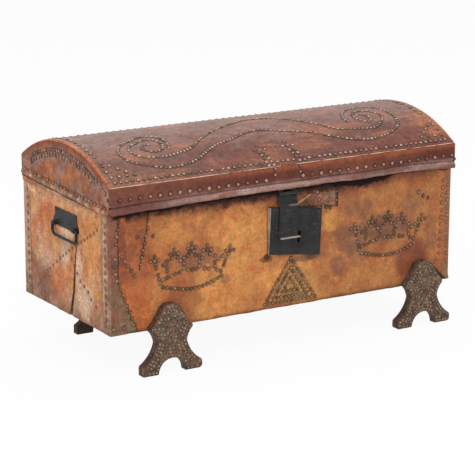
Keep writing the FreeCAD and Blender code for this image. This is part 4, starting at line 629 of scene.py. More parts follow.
def paint_patch(f, look):
    """The mended patch by the hasp: greyish brown with long pale scratches."""
    scratch = f.noise(60, 5, 0.7, at=f.stretched(0.3, 1, 2), bend=1)
    base = f.mix(f.noise(34, 5, 0.65).step(0.4, 0.6), times(look.dull, 0.8), look.strip)
    base = f.mix(f.x.step(0.07, 0.1) * 0.3, base, look.olive)
    base = f.mix(scratch.step(0.6, 0.66) * 0.5, base, look.pale)
    base = f.mix(f.ragged(f.x, 0.008, 60, 3).step(0.124, 0.13) * 0.7, base, look.dark)
    slant = ((f.x - 0.036) * 0.55 + (BOTTOM + 0.24) - f.z).size().step(0.0022, 0.001)
    return f.mix(slant * f.x.step(0.075, 0.065), base, look.ochre)


def paint_foot(f, look):
    """The feet: grey brown leather worn into small pale scales with soil between them."""
    cloud = f.noise(34, 5, 0.65)
    base = f.mix(cloud.step(0.4, 0.65), look.foot, times(look.foot, 1.4))
    base = f.mix(f.noise(90, 4, 0.7).step(0.55, 0.65) * 0.6, base, look.olive)
    away = f.cells(230)
    base = f.mix(away.step(0.4, 0.2) * 0.5, base, times(look.foot, 2.4))
    return f.mix(away.step(0.5, 0.75) * 0.5, base, look.dark)


def paint_foot_edge(f, look):
    """The edges of the front feet, where the leather is turned round the plank."""
    return f.mix(0.4, paint_foot(f, look), look.dark)


def brass(name, dark, bright):
    """Tarnished brass nails: darker round the head's foot, as soil and painted shade, and a rubbed top, each
    nail a little different.

    A tone below nought means a head that is closed in and as brown as the leather.
    """
    look = bpy.context.scene.chest_nails
    f = Finish(name)
    tone = f.attribute("tone")
    rise = f.attribute("rise")
    spots = f.noise(420, 4, 0.6)
    base = f.mix((rise + (spots - 0.5) * 0.9 + (tone - 0.5) * 0.7).step(0.4, 1.1), dark, bright)
    # Darker round the head's foot: soil and painted shade.
    base = f.mix((rise + (tone - 0.5) * 0.3).step(0.4, 0.05) * 0.8, base, times(dark, 0.4))
    brown = f.mix(rise.step(0.1, 0.5), look.closed_dark, look.closed)
    base = f.mix(tone.step(-0.4, -0.6) * 0.85, base, brown)
    roughness = 0.45 + (spots - 0.5) * 0.3 + (1 - rise) * 0.2
    return f.close(base, roughness, f.noise(700, 3), 0.08 * MM, Metallic=0.3, Specular_IOR_Level=0.3)


def iron(name, worn_share, highlight_at=None):
    """Forged black iron: hammered, rubbed where it stands proud, rusty in the hollows and, where given, lit
    by a painted highlight.
    """
    look = bpy.context.scene.chest_iron
    f = Finish(name)
    cloud = f.noise(30, 6, 0.7)
    base = f.mix(cloud.step(0.42, 0.62), look.black, look.blue)
    base = f.mix(f.noise(38, 6, 0.65).step(0.56, 0.72) * 0.6, base, look.rust)
    rubbed = f.noise(150, 6, 0.75).step(0.57, 0.7)
    base = f.mix(rubbed * worn_share, base, look.worn)
    scratch = f.noise(90, 4, 0.6, at=f.stretched(0.3, 0.3, 1.6), bend=2).step(0.64, 0.68)
    base = f.mix(scratch * 0.25, base, look.worn)
    # A painted highlight in the rubbed colour, where one is given.
    if highlight_at:
        base = f.mix(highlight_at(f) * (0.45 + f.noise(120, 4, 0.7) * 0.8), base, look.rubbed)
    hammer = f.cells(95, feature="SMOOTH_F1")
    height = hammer * 0.8 + f.noise(300, 5, 0.65) * 0.5
    roughness = 0.5 + (f.noise(60, 4) - 0.5) * 0.35
    return f.close(base, roughness, height, 0.35 * MM, Metallic=0.2, Specular_IOR_Level=0.25)


def case_edge_highlight(f):
    """Painted highlight on the left edge of the lock's case."""
    return f.x.step(CASE_LOW.x + 0.0016, CASE_LOW.x + 0.0008) * (f.noise(22, 3).step(0.3, 0.6) * 0.7 + 0.3)


def hasp_highlight(f):
    """Painted highlights on the hasp: the edge of its lip and the bend over the lock's top."""
    lip = f.z.step(HASP_LOW.z + 0.0042, HASP_LOW.z + 0.0032)
    lip = lip * f.y.step(HASP_LOW.y + 0.0075, HASP_LOW.y + 0.006)
    bend = (f.z - CASE_HIGH.z - 0.001).size().step(0.0026, 0.001) * f.x.step(-0.012, -0.004)
    return (lip * 0.85).most(bend * 0.3)


def wood(name, light, deep, squeeze):
    """Boards: grain lines along one axis, pores, and darker growth rings."""
    f = Finish(name)
    at = f.stretched(*squeeze)
    rings = f.noise(22, 5, 0.6, at=at, bend=0.4)
    lines = f.node("ShaderNodeTexWave", {"wave_type": "BANDS", "bands_direction": "DIAGONAL"}, output="Fac",
                   Vector=at, Scale=9, Distortion=7, Detail=3)
    base = f.mix(rings.step(0.35, 0.65), deep, light)
    base = f.mix(lines.step(0.55, 0.95) * 0.35, base, deep)
    pores = f.noise(260, 3, 0.6, at=at).step(0.6, 0.7)
    base = f.mix(pores * 0.5, base, times(deep, 0.5))
    base = f.mix(f.noise(11, 4).step(0.45, 0.7) * 0.3, base, times(deep, 0.7))
    height = rings * 0.4 + lines * 0.3 - pores * 0.6
    return f.close(base, 0.62 + (rings - 0.5) * 0.2, height, 0.3 * MM, Specular_IOR_Level=0.25)


# Finishes by name: leather with its paint and settings, brass with its two tones, iron with its rubbed share
# and the places of its painted highlight, and wood with its two tones and the way its grain is squeezed.
HIDES = {
    "front_hide": (paint_front, {"contrast": 0.62, "mottle": 0.3}),
    "end_hide": (paint_end, {"contrast": 0.9}),
    "back_hide": (paint_back, {}),
    "dome_hide": (paint_dome, {"rough": 0.45, "shine": 0.2}),
    "skirt_hide": (paint_skirt, {"rough": 0.42, "shine": 0.2, "contrast": 0.7, "mottle": 0.4}),
    "lid_end_hide": (paint_lid_end, {}),
    "strip_hide": (paint_strip, {"contrast": 0.8, "mottle": 0.45}),
    "patch_hide": (paint_patch, {"contrast": 1.2}),
    "foot_hide": (paint_foot, {}),
    "foot_edge": (paint_foot_edge, {}),
}
BRASSES = {
    "body_brass": ("dark", "bright"),
    "foot_brass": ("foot_dark", "foot_bright"),
    "lid_brass": ("lid_dark", "lid_bright"),
    "side_brass": ("side_dark", "side_bright"),
}
IRONS = {
    "black_iron": (0.2,),
    "case_iron": (0.2, case_edge_highlight),
    "hasp_iron": (0.2, hasp_highlight),
    "nail_iron": (0.5,),
}
WOODS = {
    "long_board": ("light", "deep", (0.08, 1, 1)),
    "end_board": ("light", "deep", (1, 0.08, 1)),
    "foot_plank": ("foot_light", "foot_deep", (1, 1, 0.12)),
}
MADE = {}


def finish(name):
    """The material of this name, made when it is first needed."""
    scene = bpy.context.scene
    if name in MADE:
        return MADE[name]
    if name in HIDES:
        paint, settings = HIDES[name]
        MADE[name] = hide(name, paint, **settings)
    elif name in BRASSES:
        MADE[name] = brass(name, *(getattr(scene.chest_nails, tone) for tone in BRASSES[name]))
    elif name in IRONS:
        MADE[name] = iron(name, *IRONS[name])
    else:
        light, deep, squeeze = WOODS[name]
        boards = scene.chest_wood
        MADE[name] = wood(name, getattr(boards, light), getattr(boards, deep), squeeze)
    return MADE[name]


# Shapes.


def deselect():
    """Nothing selected, because an operator acts on all that is."""
    bpy.ops.object.select_all(action="DESELECT")


def apply(piece, kind, **settings):
    """Adds a modifier, sets it and applies it."""
    bpy.context.view_layer.objects.active = piece
    modifier = piece.modifiers.new(kind.lower(), kind)
    for name, value in settings.items():
        setattr(modifier, name, value)
    bpy.ops.object.modifier_apply(modifier=modifier.name)


def smooth(piece, angle):
    """Smooth shading between faces that meet at less than this angle."""
    deselect()
    piece.select_set(True)
    bpy.context.view_layer.objects.active = piece
    bpy.ops.object.shade_smooth_by_angle(angle=math.radians(angle))


def settle(piece, material, body, slot, *nodes):
    """Gives a finished piece its material and its body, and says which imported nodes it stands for."""
    piece.data.materials.clear()
    piece.data.materials.append(finish(material))
    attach(piece, body)
    if nodes:
        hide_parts(*nodes)


def steps(start, end, pitch):
    """Even values from start to end, both included, about a pitch apart."""
    count = max(1, round(abs(end - start) / pitch))
    return [start + (end - start) * i / count for i in range(count + 1)]


def hollows(point, size, seed):
    """Smooth rise and fall from -1 to 1 over a surface, with features of about this size."""
    return noise.fractal(Vector(point) / size + Vector((seed, seed * 3.7, seed * 7.1)), 0.8, 2.1, 4)


# Rise and radius of the nail heads: on the feet, in the figures and along the borders.
HEAD_SIZES = ((2.0 * MM, 3.3 * MM), (2.2 * MM, 4.0 * MM), (2.6 * MM, 5.0 * MM))
# Packed points further out than this belong to the tops of heads, and points this close are one.
TOP_LEVEL = 1.7 * MM
SAME_POINT = 0.05 * MM
# Heads stand further apart than this, and one that rises above the level sits on a corner strip.
HEAD_GAP = 6 * MM
STRIP_LEVEL = 3 * MM
# How far every head is let into the leather, and how far the corner strips stand out from it.
HEAD_SINK = 0.35 * MM
STRIP_LIFT = BODY_LOW.y - STRIP_LOW.y


class Heads:
    """The places of nail heads on one surface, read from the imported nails."""

    def __init__(self, node, facing, level):
        """Facing gives the outward direction at a point, and level how far out a point lies."""
        points = mesh_points(node)
        out = level(points)
        points = points[out > TOP_LEVEL]
        out = out[out > TOP_LEVEL]
        keys = np.round(points / SAME_POINT).astype(np.int64)
        _, first = np.unique(keys, axis=0, return_index=True)
        points, out = points[first], out[first]
        order = np.argsort(-out, kind="stable")
        self.places = []
        grid = {}
        for index in order:
            point = Vector(points[index])
            key = tuple(int(math.floor(c / HEAD_GAP)) for c in point)
            near = [
                other
                for dx in (-1, 0, 1) for dy in (-1, 0, 1) for dz in (-1, 0, 1)
                for other in grid.get((key[0] + dx, key[1] + dy, key[2] + dz), ())
            ]
            if all((point - other).length > HEAD_GAP for other in near):
                grid.setdefault(key, []).append(point)
                height = out[index]
                over_strip = STRIP_LIFT * (height > STRIP_LEVEL)
                rise, radius = min(HEAD_SIZES, key=lambda size: abs(size[0] - height + over_strip))
                direction = facing(point)
                self.places.append((point - direction * rise, direction, radius, rise))
        self.tree = kdtree.KDTree(len(self.places))
        for index, (place, *_) in enumerate(self.places):
            self.tree.insert(place, index)
        self.tree.balance()

    def reach(self, point):
        """Distance from a point to the nearest head's edge."""
        _, index, away = self.tree.find(point)
        return away - self.places[index][2]


def flat_heads(node, axis, plane, side):
    """Nail heads on a flat surface: axis 0, 1 or 2, its place along it, and the way it faces."""
    direction = Vector((0, 0, 0))
    direction[axis] = side
    return Heads(node, lambda point: direction, lambda points: (points[:, axis] - plane) * side)


def dome_heads():
    """Nail heads on the curved top of the lid."""

    def facing(point):
        return Vector((0, point.y - DOME_Y, point.z - DOME_Z)).normalized()

    def level(points):
        return np.hypot(points[:, 1] - DOME_Y, points[:, 2] - DOME_Z) - DOME_RADIUS

    return Heads("lid_top_nails", facing, level)


HEADS = {
    "front": flat_heads("front_nails", 1, FRONT, -1),
    "left_end": flat_heads("end_nails", 0, -HALF, -1),
    "right_end": flat_heads("end_nails", 0, HALF, 1),
    "back": flat_heads("end_nails", 1, BACK + 1.5 * MM, 1),
    "feet": flat_heads("foot_nails", 1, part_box("front_left_foot_leather")[0].y, -1),
    "dome": dome_heads(),
    "skirt": flat_heads("lid_side_nails", 1, SKIRT_LOW.y, -1),
    "lid_back": flat_heads("lid_side_nails", 1, BACK, 1),
    "lid_left": flat_heads("lid_side_nails", 0, -HALF_LID, -1),
    "lid_right": flat_heads("lid_side_nails", 0, HALF_LID, 1),
}


# How the grid's columns open round a crack: the column's place from the middle one, how many of the crack's
# half widths it moves out, and whether it is sunk.
CRACK_COLUMNS = ((0, 0, 1), (-1, -0.8, 1), (1, 0.8, 1), (-2, -1, 0), (2, 1, 0))
# How far round a head the leather is drawn in, and how much the rubbed edge of a crack stands up.
PULL, EDGE_RISE = 5 * MM, 0.4 * MM


def sheet(name, us, vs, lay, heads, seed, thickness=HIDE, relief=1.0, cracks=(), marks=None, proud=0.0,
          soil=0.55):
    """A leather skin: a grid laid over a surface, drawn in at its nails, creased, and made thick inwards.

    Us and vs are the grid's values, and lay turns a pair of them into a place and the outward direction.
    A crack is a line of (u, v) points, its half widths at the top and the bottom, its depth and how much
    its edges are rubbed. Marks gives soil and painted shade, and rubbing and painted highlight, at a point.
    """
    deselect()
    bpy.ops.mesh.primitive_grid_add(x_subdivisions=len(us) - 1, y_subdivisions=len(vs) - 1, size=2)
    piece = bpy.context.object
    piece.name = name
    mesh = piece.data
    look = bpy.context.scene.chest_leather
    corners = np.zeros(len(mesh.vertices) * 3)
    mesh.vertices.foreach_get("co", corners)
    corners = corners.reshape(-1, 3)
    columns = np.rint((corners[:, 0] + 1) / 2 * (len(us) - 1)).astype(int)
    rows = np.rint((corners[:, 1] + 1) / 2 * (len(vs) - 1)).astype(int)
    across = np.array(us)[columns]
    along = np.array(vs)[rows]
    sunk = np.zeros(len(across))
    lifted = np.zeros(len(across))
    for line, narrow, wide, depth, rubbed in cracks:
        line = np.array(sorted(line, key=lambda p: p[1]))
        at = np.interp(along, line[:, 1], line[:, 0])
        half = np.interp(along, (line[0, 1], line[-1, 1]), (wide, narrow))
        inside = (along >= line[0, 1]) & (along <= line[-1, 1])
        at = at + np.array([hollows((0, v, 0), 0.02, seed) for v in along]) * 1.5 * MM
        centre = np.searchsorted(us, at)
        for shift, reach, low in CRACK_COLUMNS:
            chosen = inside & (columns == centre + shift)
            across[chosen] = at[chosen] + reach * half[chosen]
            sunk[chosen] = depth * low
            lifted[chosen] = (1 - low) * rubbed
    grime = np.zeros(len(across))
    wear = np.zeros(len(across))
    for index, vertex in enumerate(mesh.vertices):
        u, v = across[index], along[index]
        point, out = lay(u, v)
        near = min(HEADS[group].reach(point) for group in heads)
        drawn = fall(max(near, 0), PULL)
        wave = min(0.0, hollows(point, 0.14, seed) * 0.8 - 0.1 + hollows(point, 0.03, seed + 5) * 0.35)
        depth = look.relief * relief * wave - look.dimple * drawn * drawn - sunk[index]
        grime[index] = min(1.0, soil * drawn ** 1.5 + (1.0 if sunk[index] else 0.0))
        wear[index] = 0.8 * lifted[index]
        if marks:
            dirt_and_shade, rub = marks(u, v, point)
            grime[index] = min(1.0, grime[index] + dirt_and_shade)
            wear[index] = max(rub, wear[index])
        vertex.co = point + out * (depth + proud + EDGE_RISE * lifted[index])
    for label, values in (("grime", grime), ("wear", wear)):
        mesh.attributes.new(label, "FLOAT", "POINT").data.foreach_set("value", values)
    mesh.update()
    middle = mesh.polygons[len(mesh.polygons) // 2]
    _, out = lay(us[len(us) // 2], vs[len(vs) // 2])
    if middle.normal.dot(out) < 0:
        mesh.flip_normals()
    apply(piece, "SOLIDIFY", thickness=thickness, offset=-1)
    apply(piece, "BEVEL", width=min(0.6 * MM, thickness / 4), segments=2, limit_method="ANGLE",
          angle_limit=math.radians(60))
    smooth(piece, 50)
    return piece


def refined(name, node, bevel, segments=2, rounded=None):
    """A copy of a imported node's solid with rubbed edges.

    Rounded tells which edges are rounded in edit mode, and by how much.
    """
    deselect()
    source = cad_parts[node]
    piece = source.copy()
    piece.data = source.data.copy()
    piece.name = name
    for label in list(piece.keys()):
        del piece[label]
    piece.parent = None
    bpy.context.scene.collection.objects.link(piece)
    piece.select_set(True)
    bpy.context.view_layer.objects.active = piece
    bpy.ops.object.mode_set(mode="EDIT")
    bpy.ops.mesh.select_all(action="SELECT")
    bpy.ops.mesh.remove_doubles(threshold=0.01 * MM)
    bpy.ops.mesh.dissolve_limited(angle_limit=math.radians(1))
    bpy.ops.mesh.select_all(action="DESELECT")
    bpy.ops.object.mode_set(mode="OBJECT")
    if rounded:
        chosen, width = rounded
        points = piece.data.vertices
        for edge in piece.data.edges:
            edge.select = chosen(*(points[index].co for index in edge.vertices))
        bpy.ops.object.mode_set(mode="EDIT")
        bpy.ops.mesh.select_mode(type="EDGE")
        bpy.ops.mesh.bevel(offset=width, segments=5, affect="EDGES")
        bpy.ops.object.mode_set(mode="OBJECT")
    apply(piece, "BEVEL", width=bevel, segments=segments, limit_method="ANGLE", angle_limit=math.radians(30),
          use_clamp_overlap=True)
    smooth(piece, 35)
    return piece


def closed_in(place):
    """Whether a nail sits where the leather has closed round the heads: the ends and the right strip."""
    on_body = BOTTOM < place.z < RIM and place.y > FRONT - 6 * MM
    on_right_strip = place.x > HALF - 55 * MM and place.y < FRONT + HIDE
    return on_body and (abs(place.x) > HALF - 2 * MM or on_right_strip)


def nail_heads(node, groups, material, body):
    """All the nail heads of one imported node: one head is shaped, then copied to each place."""
    name = node[:-1] + "_heads"
    look = bpy.context.scene.chest_nails
    draw = random.Random(name)
    deselect()
    bpy.ops.mesh.primitive_uv_sphere_add(segments=10, ring_count=6, radius=1)
    head = bpy.context.object
    head.name = name
    bpy.ops.object.mode_set(mode="EDIT")
    bpy.ops.mesh.select_all(action="SELECT")
    bpy.ops.mesh.bisect(plane_co=(0, 0, 0), plane_no=(0, 0, 1), use_fill=True, clear_inner=True)
    bpy.ops.object.mode_set(mode="OBJECT")
    mesh = head.data
    heights = [vertex.co.z for vertex in mesh.vertices]
    mesh.attributes.new("rise", "FLOAT", "POINT").data.foreach_set("value", heights)
    mesh.attributes.new("tone", "FLOAT", "POINT")
    copies = []
    for group in groups:
        for place, facing, radius, rise in HEADS[group].places:
            copy = head.copy()
            copy.data = mesh.copy()
            for vertex in copy.data.vertices:
                if vertex.co.z > 0.2:
                    vertex.co *= draw.uniform(0.93, 1.05)
            wide = radius * draw.uniform(0.88, 1.02)
            lean = Vector((draw.gauss(0, 1), draw.gauss(0, 1), draw.gauss(0, 1))) * look.tilt / 2
            turn = (facing + lean.cross(facing)).to_track_quat("Z", "Y")
            spin = Matrix.Rotation(draw.uniform(0, math.tau), 4, "Z")
            size = Matrix.Diagonal((wide, wide, rise * draw.uniform(0.95, 1.12), 1))
            copy.data.transform(Matrix.LocRotScale(place - facing * HEAD_SINK, turn, None) @ spin @ size)
            tone = draw.random()
            if closed_in(place) and tone < 0.7:
                tone -= 1.7
            copy.data.attributes["tone"].data.foreach_set("value", [tone] * len(mesh.vertices))
            bpy.context.scene.collection.objects.link(copy)
            copies.append(copy)
    bpy.data.objects.remove(head)
    deselect()
    for copy in copies:
        copy.select_set(True)
    bpy.context.view_layer.objects.active = copies[0]
    bpy.ops.object.join()
    copies[0].name = name
    smooth(copies[0], 60)
    settle(copies[0], material, body, "brass_nail", node)


# Surfaces that the skins are laid on.


def ragged_bottom(along, z, seed):
    """A height drawn down or up near the bottom, so that the leather's lower edge isn't ruled."""
    share = fall(z - BOTTOM, 12 * MM)
    return z + share * (hollows((along, 0, 0), 0.06, seed) * 1.2 - 0.3) * MM


def front_place(x, z):
    return Vector((x, FRONT, ragged_bottom(x, z, 13))), Vector((0, -1, 0))


def back_place(x, z):
    return Vector((x, BACK, z)), Vector((0, 1, 0))


def end_place(side):
    return lambda y, z: (Vector((side * HALF, y, ragged_bottom(y * 1.4, z, 14 + side))), Vector((side, 0, 0)))


# Radius and length of the fold of a corner strip.
FOLD_RADIUS = 3 * MM
FOLD = FOLD_RADIUS * math.pi / 2


def strip_place(side, outward):
    """A strip folded round an upright corner: u runs along it from its edge on the end."""
    face = FRONT if outward < 0 else BACK
    lift = STRIP_LIFT
    radius = FOLD_RADIUS
    corner_x = HALF + lift - radius
    corner_y = face + outward * (lift - radius)
    turn = FOLD

    def lay(u, z):
        if u < -turn / 2:
            away = -turn / 2 - u
            return Vector((side * (HALF + lift), corner_y - outward * away, z)), Vector((side, 0, 0))
        if u > turn / 2:
            away = u - turn / 2
            return Vector((side * (corner_x - away), face + outward * lift, z)), Vector((0, outward, 0))
        angle = (u + turn / 2) / radius
        out = Vector((side * math.cos(angle), outward * math.sin(angle), 0))
        return Vector((side * corner_x, corner_y, z)) + out * radius, out

    return lay


def dome_place(u, v):
    """The lid's top: u along it from the middle, v over it from the crest, rolled down at every edge."""
    side = 1 if v > 0 else -1
    angle = min(abs(v) / DOME_RADIUS, ROLL_ANGLE)
    left = abs(v) - DOME_RADIUS * ROLL_ANGLE
    if left <= 0:
        out = Vector((0, side * math.sin(angle), math.cos(angle)))
        point = Vector((0, DOME_Y, DOME_Z)) + out * DOME_RADIUS
    else:
        centre = Vector((0, DOME_Y + side * ROLL_INNER * math.sin(ROLL_ANGLE),
                         DOME_Z + ROLL_INNER * math.cos(ROLL_ANGLE)))
        angle = min(ROLL_ANGLE + left / EDGE_ROLL, math.pi / 2)
        out = Vector((0, side * math.sin(angle), math.cos(angle)))
        below = max(0.0, left - EDGE_ROLL * (math.pi / 2 - ROLL_ANGLE))
        point = centre + out * EDGE_ROLL - Vector((0, 0, below))
    end = HALF_LID - EDGE_ROLL
    if abs(u) <= end:
        return point + Vector((u, 0, 0)), out
    angle = min((abs(u) - end) / EDGE_ROLL, math.pi / 2)
    outward = Vector((math.copysign(1, u), 0, 0))
    turned = out * math.cos(angle) + outward * math.sin(angle)
    return point - out * EDGE_ROLL + outward * end + turned * EDGE_ROLL, turned


def flap_edge():
    """The height of the front flap's lower edge along X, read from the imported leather."""
    points = mesh_points("lid_front_leather")
    low = points[points[:, 2] < RIM + 1 * MM]
    places = np.unique(np.round(low[:, 0], 5))
    heights = [low[np.abs(low[:, 0] - x) < 0.1 * MM][:, 2].min() for x in places]
    return places, heights


FLAP_X, FLAP_Z = flap_edge()
HASP_X = (HASP_LOW.x + HASP_HIGH.x) / 2


def flap_height(x):
    """The height of the flap's lower edge at X, with small waves of its own."""
    return float(np.interp(x, FLAP_X, FLAP_Z)) + hollows((x, 0, 0), 0.05, 3) * 1.4 * MM


def flap_shadow(x, z, point):
    """Painted shadow under the flap: black, ragged and deepest right of the lock, with nothing rubbed."""
    hollow = fall(abs(x - 0.19), 0.09)
    thin = 0.65 * clamped((x - 0.25) / 0.05)
    waves = 5 * hollows((x, 0, 0), 0.06, 21) + 4 * hollows((x, z, 0), 0.012, 22)
    deep = (7 + waves + 9 * hollow) * (1 - thin) * MM
    return clamped(1 - (flap_height(x) - deep - z) / (3 * MM)), 0.0


def skirt_place(x, v):
    """The lid's front: v from 0 at the hanging edge, which waves, to 1 under the rolled top."""
    low = flap_height(x)
    height = v * (SKIRT_HIGH.z - low)
    band = (15 + 2 * hollows((x, 0, 0), 0.09, 8)) * MM
    calm = 1 - 0.75 * fall(abs(x - HASP_X), 60 * MM)
    bulge = math.sin(math.pi * min(1.0, (height + 3 * MM) / band)) if height < band - 3 * MM else 0.0
    flare = bulge * (3.4 + 1.6 * hollows((x, 0, 0), 0.07, 9)) * MM * calm
    crease = 0.9 * MM * math.exp(-((height - band) / (2.2 * MM)) ** 2)
    return Vector((x, SKIRT_LOW.y - max(flare, 0) + crease, low + height)), Vector((0, -1, 0))


def lid_end_place(side):
    """The lid's D shaped end: v from 0 at the hem, which curls out, to 1 under the rolled top."""
    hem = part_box("lid_left_end_leather")[0].z

    def lay(y, v):
        arc = DOME_RADIUS - HIDE
        top = DOME_Z + math.sqrt(arc * arc - (y - DOME_Y) ** 2)
        z = hem + v * (top - hem)
        away = z - ledge_line(y) - hollows((0, y, side), 0.05, 4) * 1.5 * MM
        ledge = math.exp(-(away / (6 * MM)) ** 2) * (3.6 + 1.2 * hollows((0, y, side), 0.04, 6)) * MM
        return Vector((side * (HALF_LID + max(ledge, 0)), y, z)), Vector((side, 0, 0))

    return lay


def ledge_shadow(y, v, point):
    """Painted shadow below the ledge of the lid's ends, and painted shade under the rolled top."""
    below = fall(abs(ledge_line(y) - 7 * MM - point.z), 3.2 * MM)
    return max(below, 0.5 * fall(1 - v, 0.04)), 0.0


# Operators.


class ChestOperator(bpy.types.Operator):
    """What all the operators share"""

    bl_options = {"REGISTER", "UNDO"}


# Stage: the sensor's width in millimetres, the floor's size and colour, how white the floor is to the camera,
# the point the lamps shine at, and each lamp's name, place, share of the lamp power and width.
SENSOR = 36
FLOOR_SIZE = 60
FLOOR_GREY = (0.82, 0.82, 0.82)
WHITE = (1, 1, 1)
WHITENED = 0.94
AIM = (0, 0, 0.3)
LAMPS = (
    ("key_lamp", (-2.2, -2.6, 3.4), 1, 2.2),
    ("top_lamp", (0.8, 0.6, 3.6), 0.45, 2.6),
)


class CHEST_OT_stage(ChestOperator):
    """Floor, soft light, white surroundings and the camera"""

    bl_idname = "chest.stage"
    bl_label = "Stage"

    def execute(self, context):
        look = context.scene.chest_stage
        context.scene.view_settings.view_transform = "Standard"
        self.camera(context, look)
        self.floor()
        self.light(context, look)
        return {"FINISHED"}

    def camera(self, context, look):
        data = bpy.data.cameras.new("camera")
        data.sensor_width = SENSOR
        data.lens = look.lens
        camera = bpy.data.objects.new("camera", data)
        context.scene.collection.objects.link(camera)
        azimuth, elevation, roll = look.azimuth, look.elevation, look.roll
        back = Vector((math.sin(azimuth) * math.cos(elevation), -math.cos(azimuth) * math.cos(elevation),
                       math.sin(elevation)))
        right = Vector((math.cos(azimuth), math.sin(azimuth), 0))
        up = back.cross(right)
        leant = right * math.cos(roll) + up * math.sin(roll)
        raised = up * math.cos(roll) - right * math.sin(roll)
        turn = Matrix((leant, raised, back)).transposed()
        camera.matrix_world = Matrix.Translation(look.place) @ turn.to_4x4()
        context.scene.camera = camera

    def floor(self):
        deselect()
        bpy.ops.mesh.primitive_plane_add(size=1)
        floor = bpy.context.object
        floor.name = "floor"
        floor.data.transform(Matrix.Scale(FLOOR_SIZE, 4))
        f = Finish("floor")
        white = f.node("ShaderNodeEmission", None, WHITE, 1)
        f.feed(f.shader.inputs["Base Color"], FLOOR_GREY)
        f.feed(f.shader.inputs["Roughness"], 0.9)
        f.feed(f.shader.inputs["Specular IOR Level"], 0)
        both = f.node("ShaderNodeMixShader", None, f.seen() * WHITENED, Link(f, f.shader.outputs[0]), white)
        output = next(n for n in f.tree.nodes if n.type == "OUTPUT_MATERIAL")
        f.feed(output.inputs["Surface"], both)
        floor.data.materials.append(f.material)

    def light(self, context, look):
        world = bpy.data.worlds.new("surroundings")
        context.scene.world = world
        world.use_nodes = True
        world.node_tree.nodes.clear()
        sky = Tree(world.node_tree)
        soft = sky.node("ShaderNodeBackground", None, WHITE, look.sky)
        white = sky.node("ShaderNodeBackground", None, WHITE, 1)
        both = sky.node("ShaderNodeMixShader", None, sky.seen(), soft, white)
        sky.feed(sky.tree.nodes.new("ShaderNodeOutputWorld").inputs["Surface"], both)
        for name, place, share, size in LAMPS:
            data = bpy.data.lights.new(name, "AREA")
            data.energy = look.key * share
            data.size = size
            lamp = bpy.data.objects.new(name, data)
            context.scene.collection.objects.link(lamp)
            lamp.location = place
            aim = Vector(AIM) - Vector(place)
            lamp.rotation_mode = "QUATERNION"
            lamp.rotation_quaternion = aim.to_track_quat("-Z", "Y")


class CHEST_OT_body_leather(ChestOperator):
    """Leather skins of the body's four sides"""

    bl_idname = "chest.body_leather"
    bl_label = "Body leather"

    def execute(self, context):
        # The front skin's marks paint the shadow under the flap.
        sheet_on("front_skin", "front_leather", "front_hide", steps(-HALF, HALF, FRONT_GRID),
                 steps(BOTTOM, RIM, FRONT_GRID), front_place, ["front"], 1, marks=flap_shadow,
                 cracks=[(LEFT_SEAM, 1 * MM, 1.2 * MM, 0.9 * MM, 0)])
        sheet_on("back_skin", "back_leather", "back_hide", steps(-HALF, HALF, BACK_GRID),
                 steps(BOTTOM, RIM, BACK_GRID), back_place, ["back"], 2)
        patch = sheet("leather_patch", steps(PATCH_LEFT, PATCH_RIGHT, PATCH_GRID),
                      [n / 13 for n in range(14)], patch_place, ["front"], 34, 1 * MM,
                      relief=0.3, proud=PATCH_PROUD, marks=patch_edge)
        settle(patch, "patch_hide", "chest", "body_leather")
        depth = steps(FRONT + HIDE, BACK - HIDE, END_GRID)
        rows = steps(BOTTOM, RIM, END_GRID)
        sheet_on("left_end_skin", "left_end_leather", "end_hide", depth, rows, end_place(-1), ["left_end"], 3,
                 soil=0.3, cracks=[(END_SPLIT, 2 * MM, 7.4 * MM, 2.6 * MM, 0.3),
                                   (END_CRACK, 1.2 * MM, 2 * MM, 2 * MM, 0)])
        sheet_on("right_end_skin", "right_end_leather", "end_hide", depth, rows, end_place(1),
                 ["right_end"], 4, soil=0.3)
        return {"FINISHED"}


def sheet_on(name, node, material, *grid, **settings):
    """A leather skin that stands for one packed leather of the body or the lid."""
    body = "lid" if node.startswith("lid") else "chest"
    slot = "lid_leather" if body == "lid" else "body_leather"
    settle(sheet(name, *grid, **settings), material, body, slot, node)


def patch_place(u, v):
    """The mended patch: u along it, v from 0 at its slanting lower edge to 1 at the top."""
    low = max(PATCH_LOW, CASE_HIGH.z - 0.01 - (u - PATCH_LEFT) * 0.1)
    z = low + v * (PATCH_TOP - low) + hollows((u, v * 0.03, 0), 0.02, 31) * 0.8 * MM
    x = u + hollows((0, v * 0.03, u), 0.02, 33) * 0.8 * MM
    return Vector((x, FRONT, z)), Vector((0, -1, 0))


def patch_edge(u, v, point):
    """Soil along the patch's right and lower edges."""
    return 0.9 * fall(min(PATCH_RIGHT - u, v * 0.035), 3 * MM), 0.0


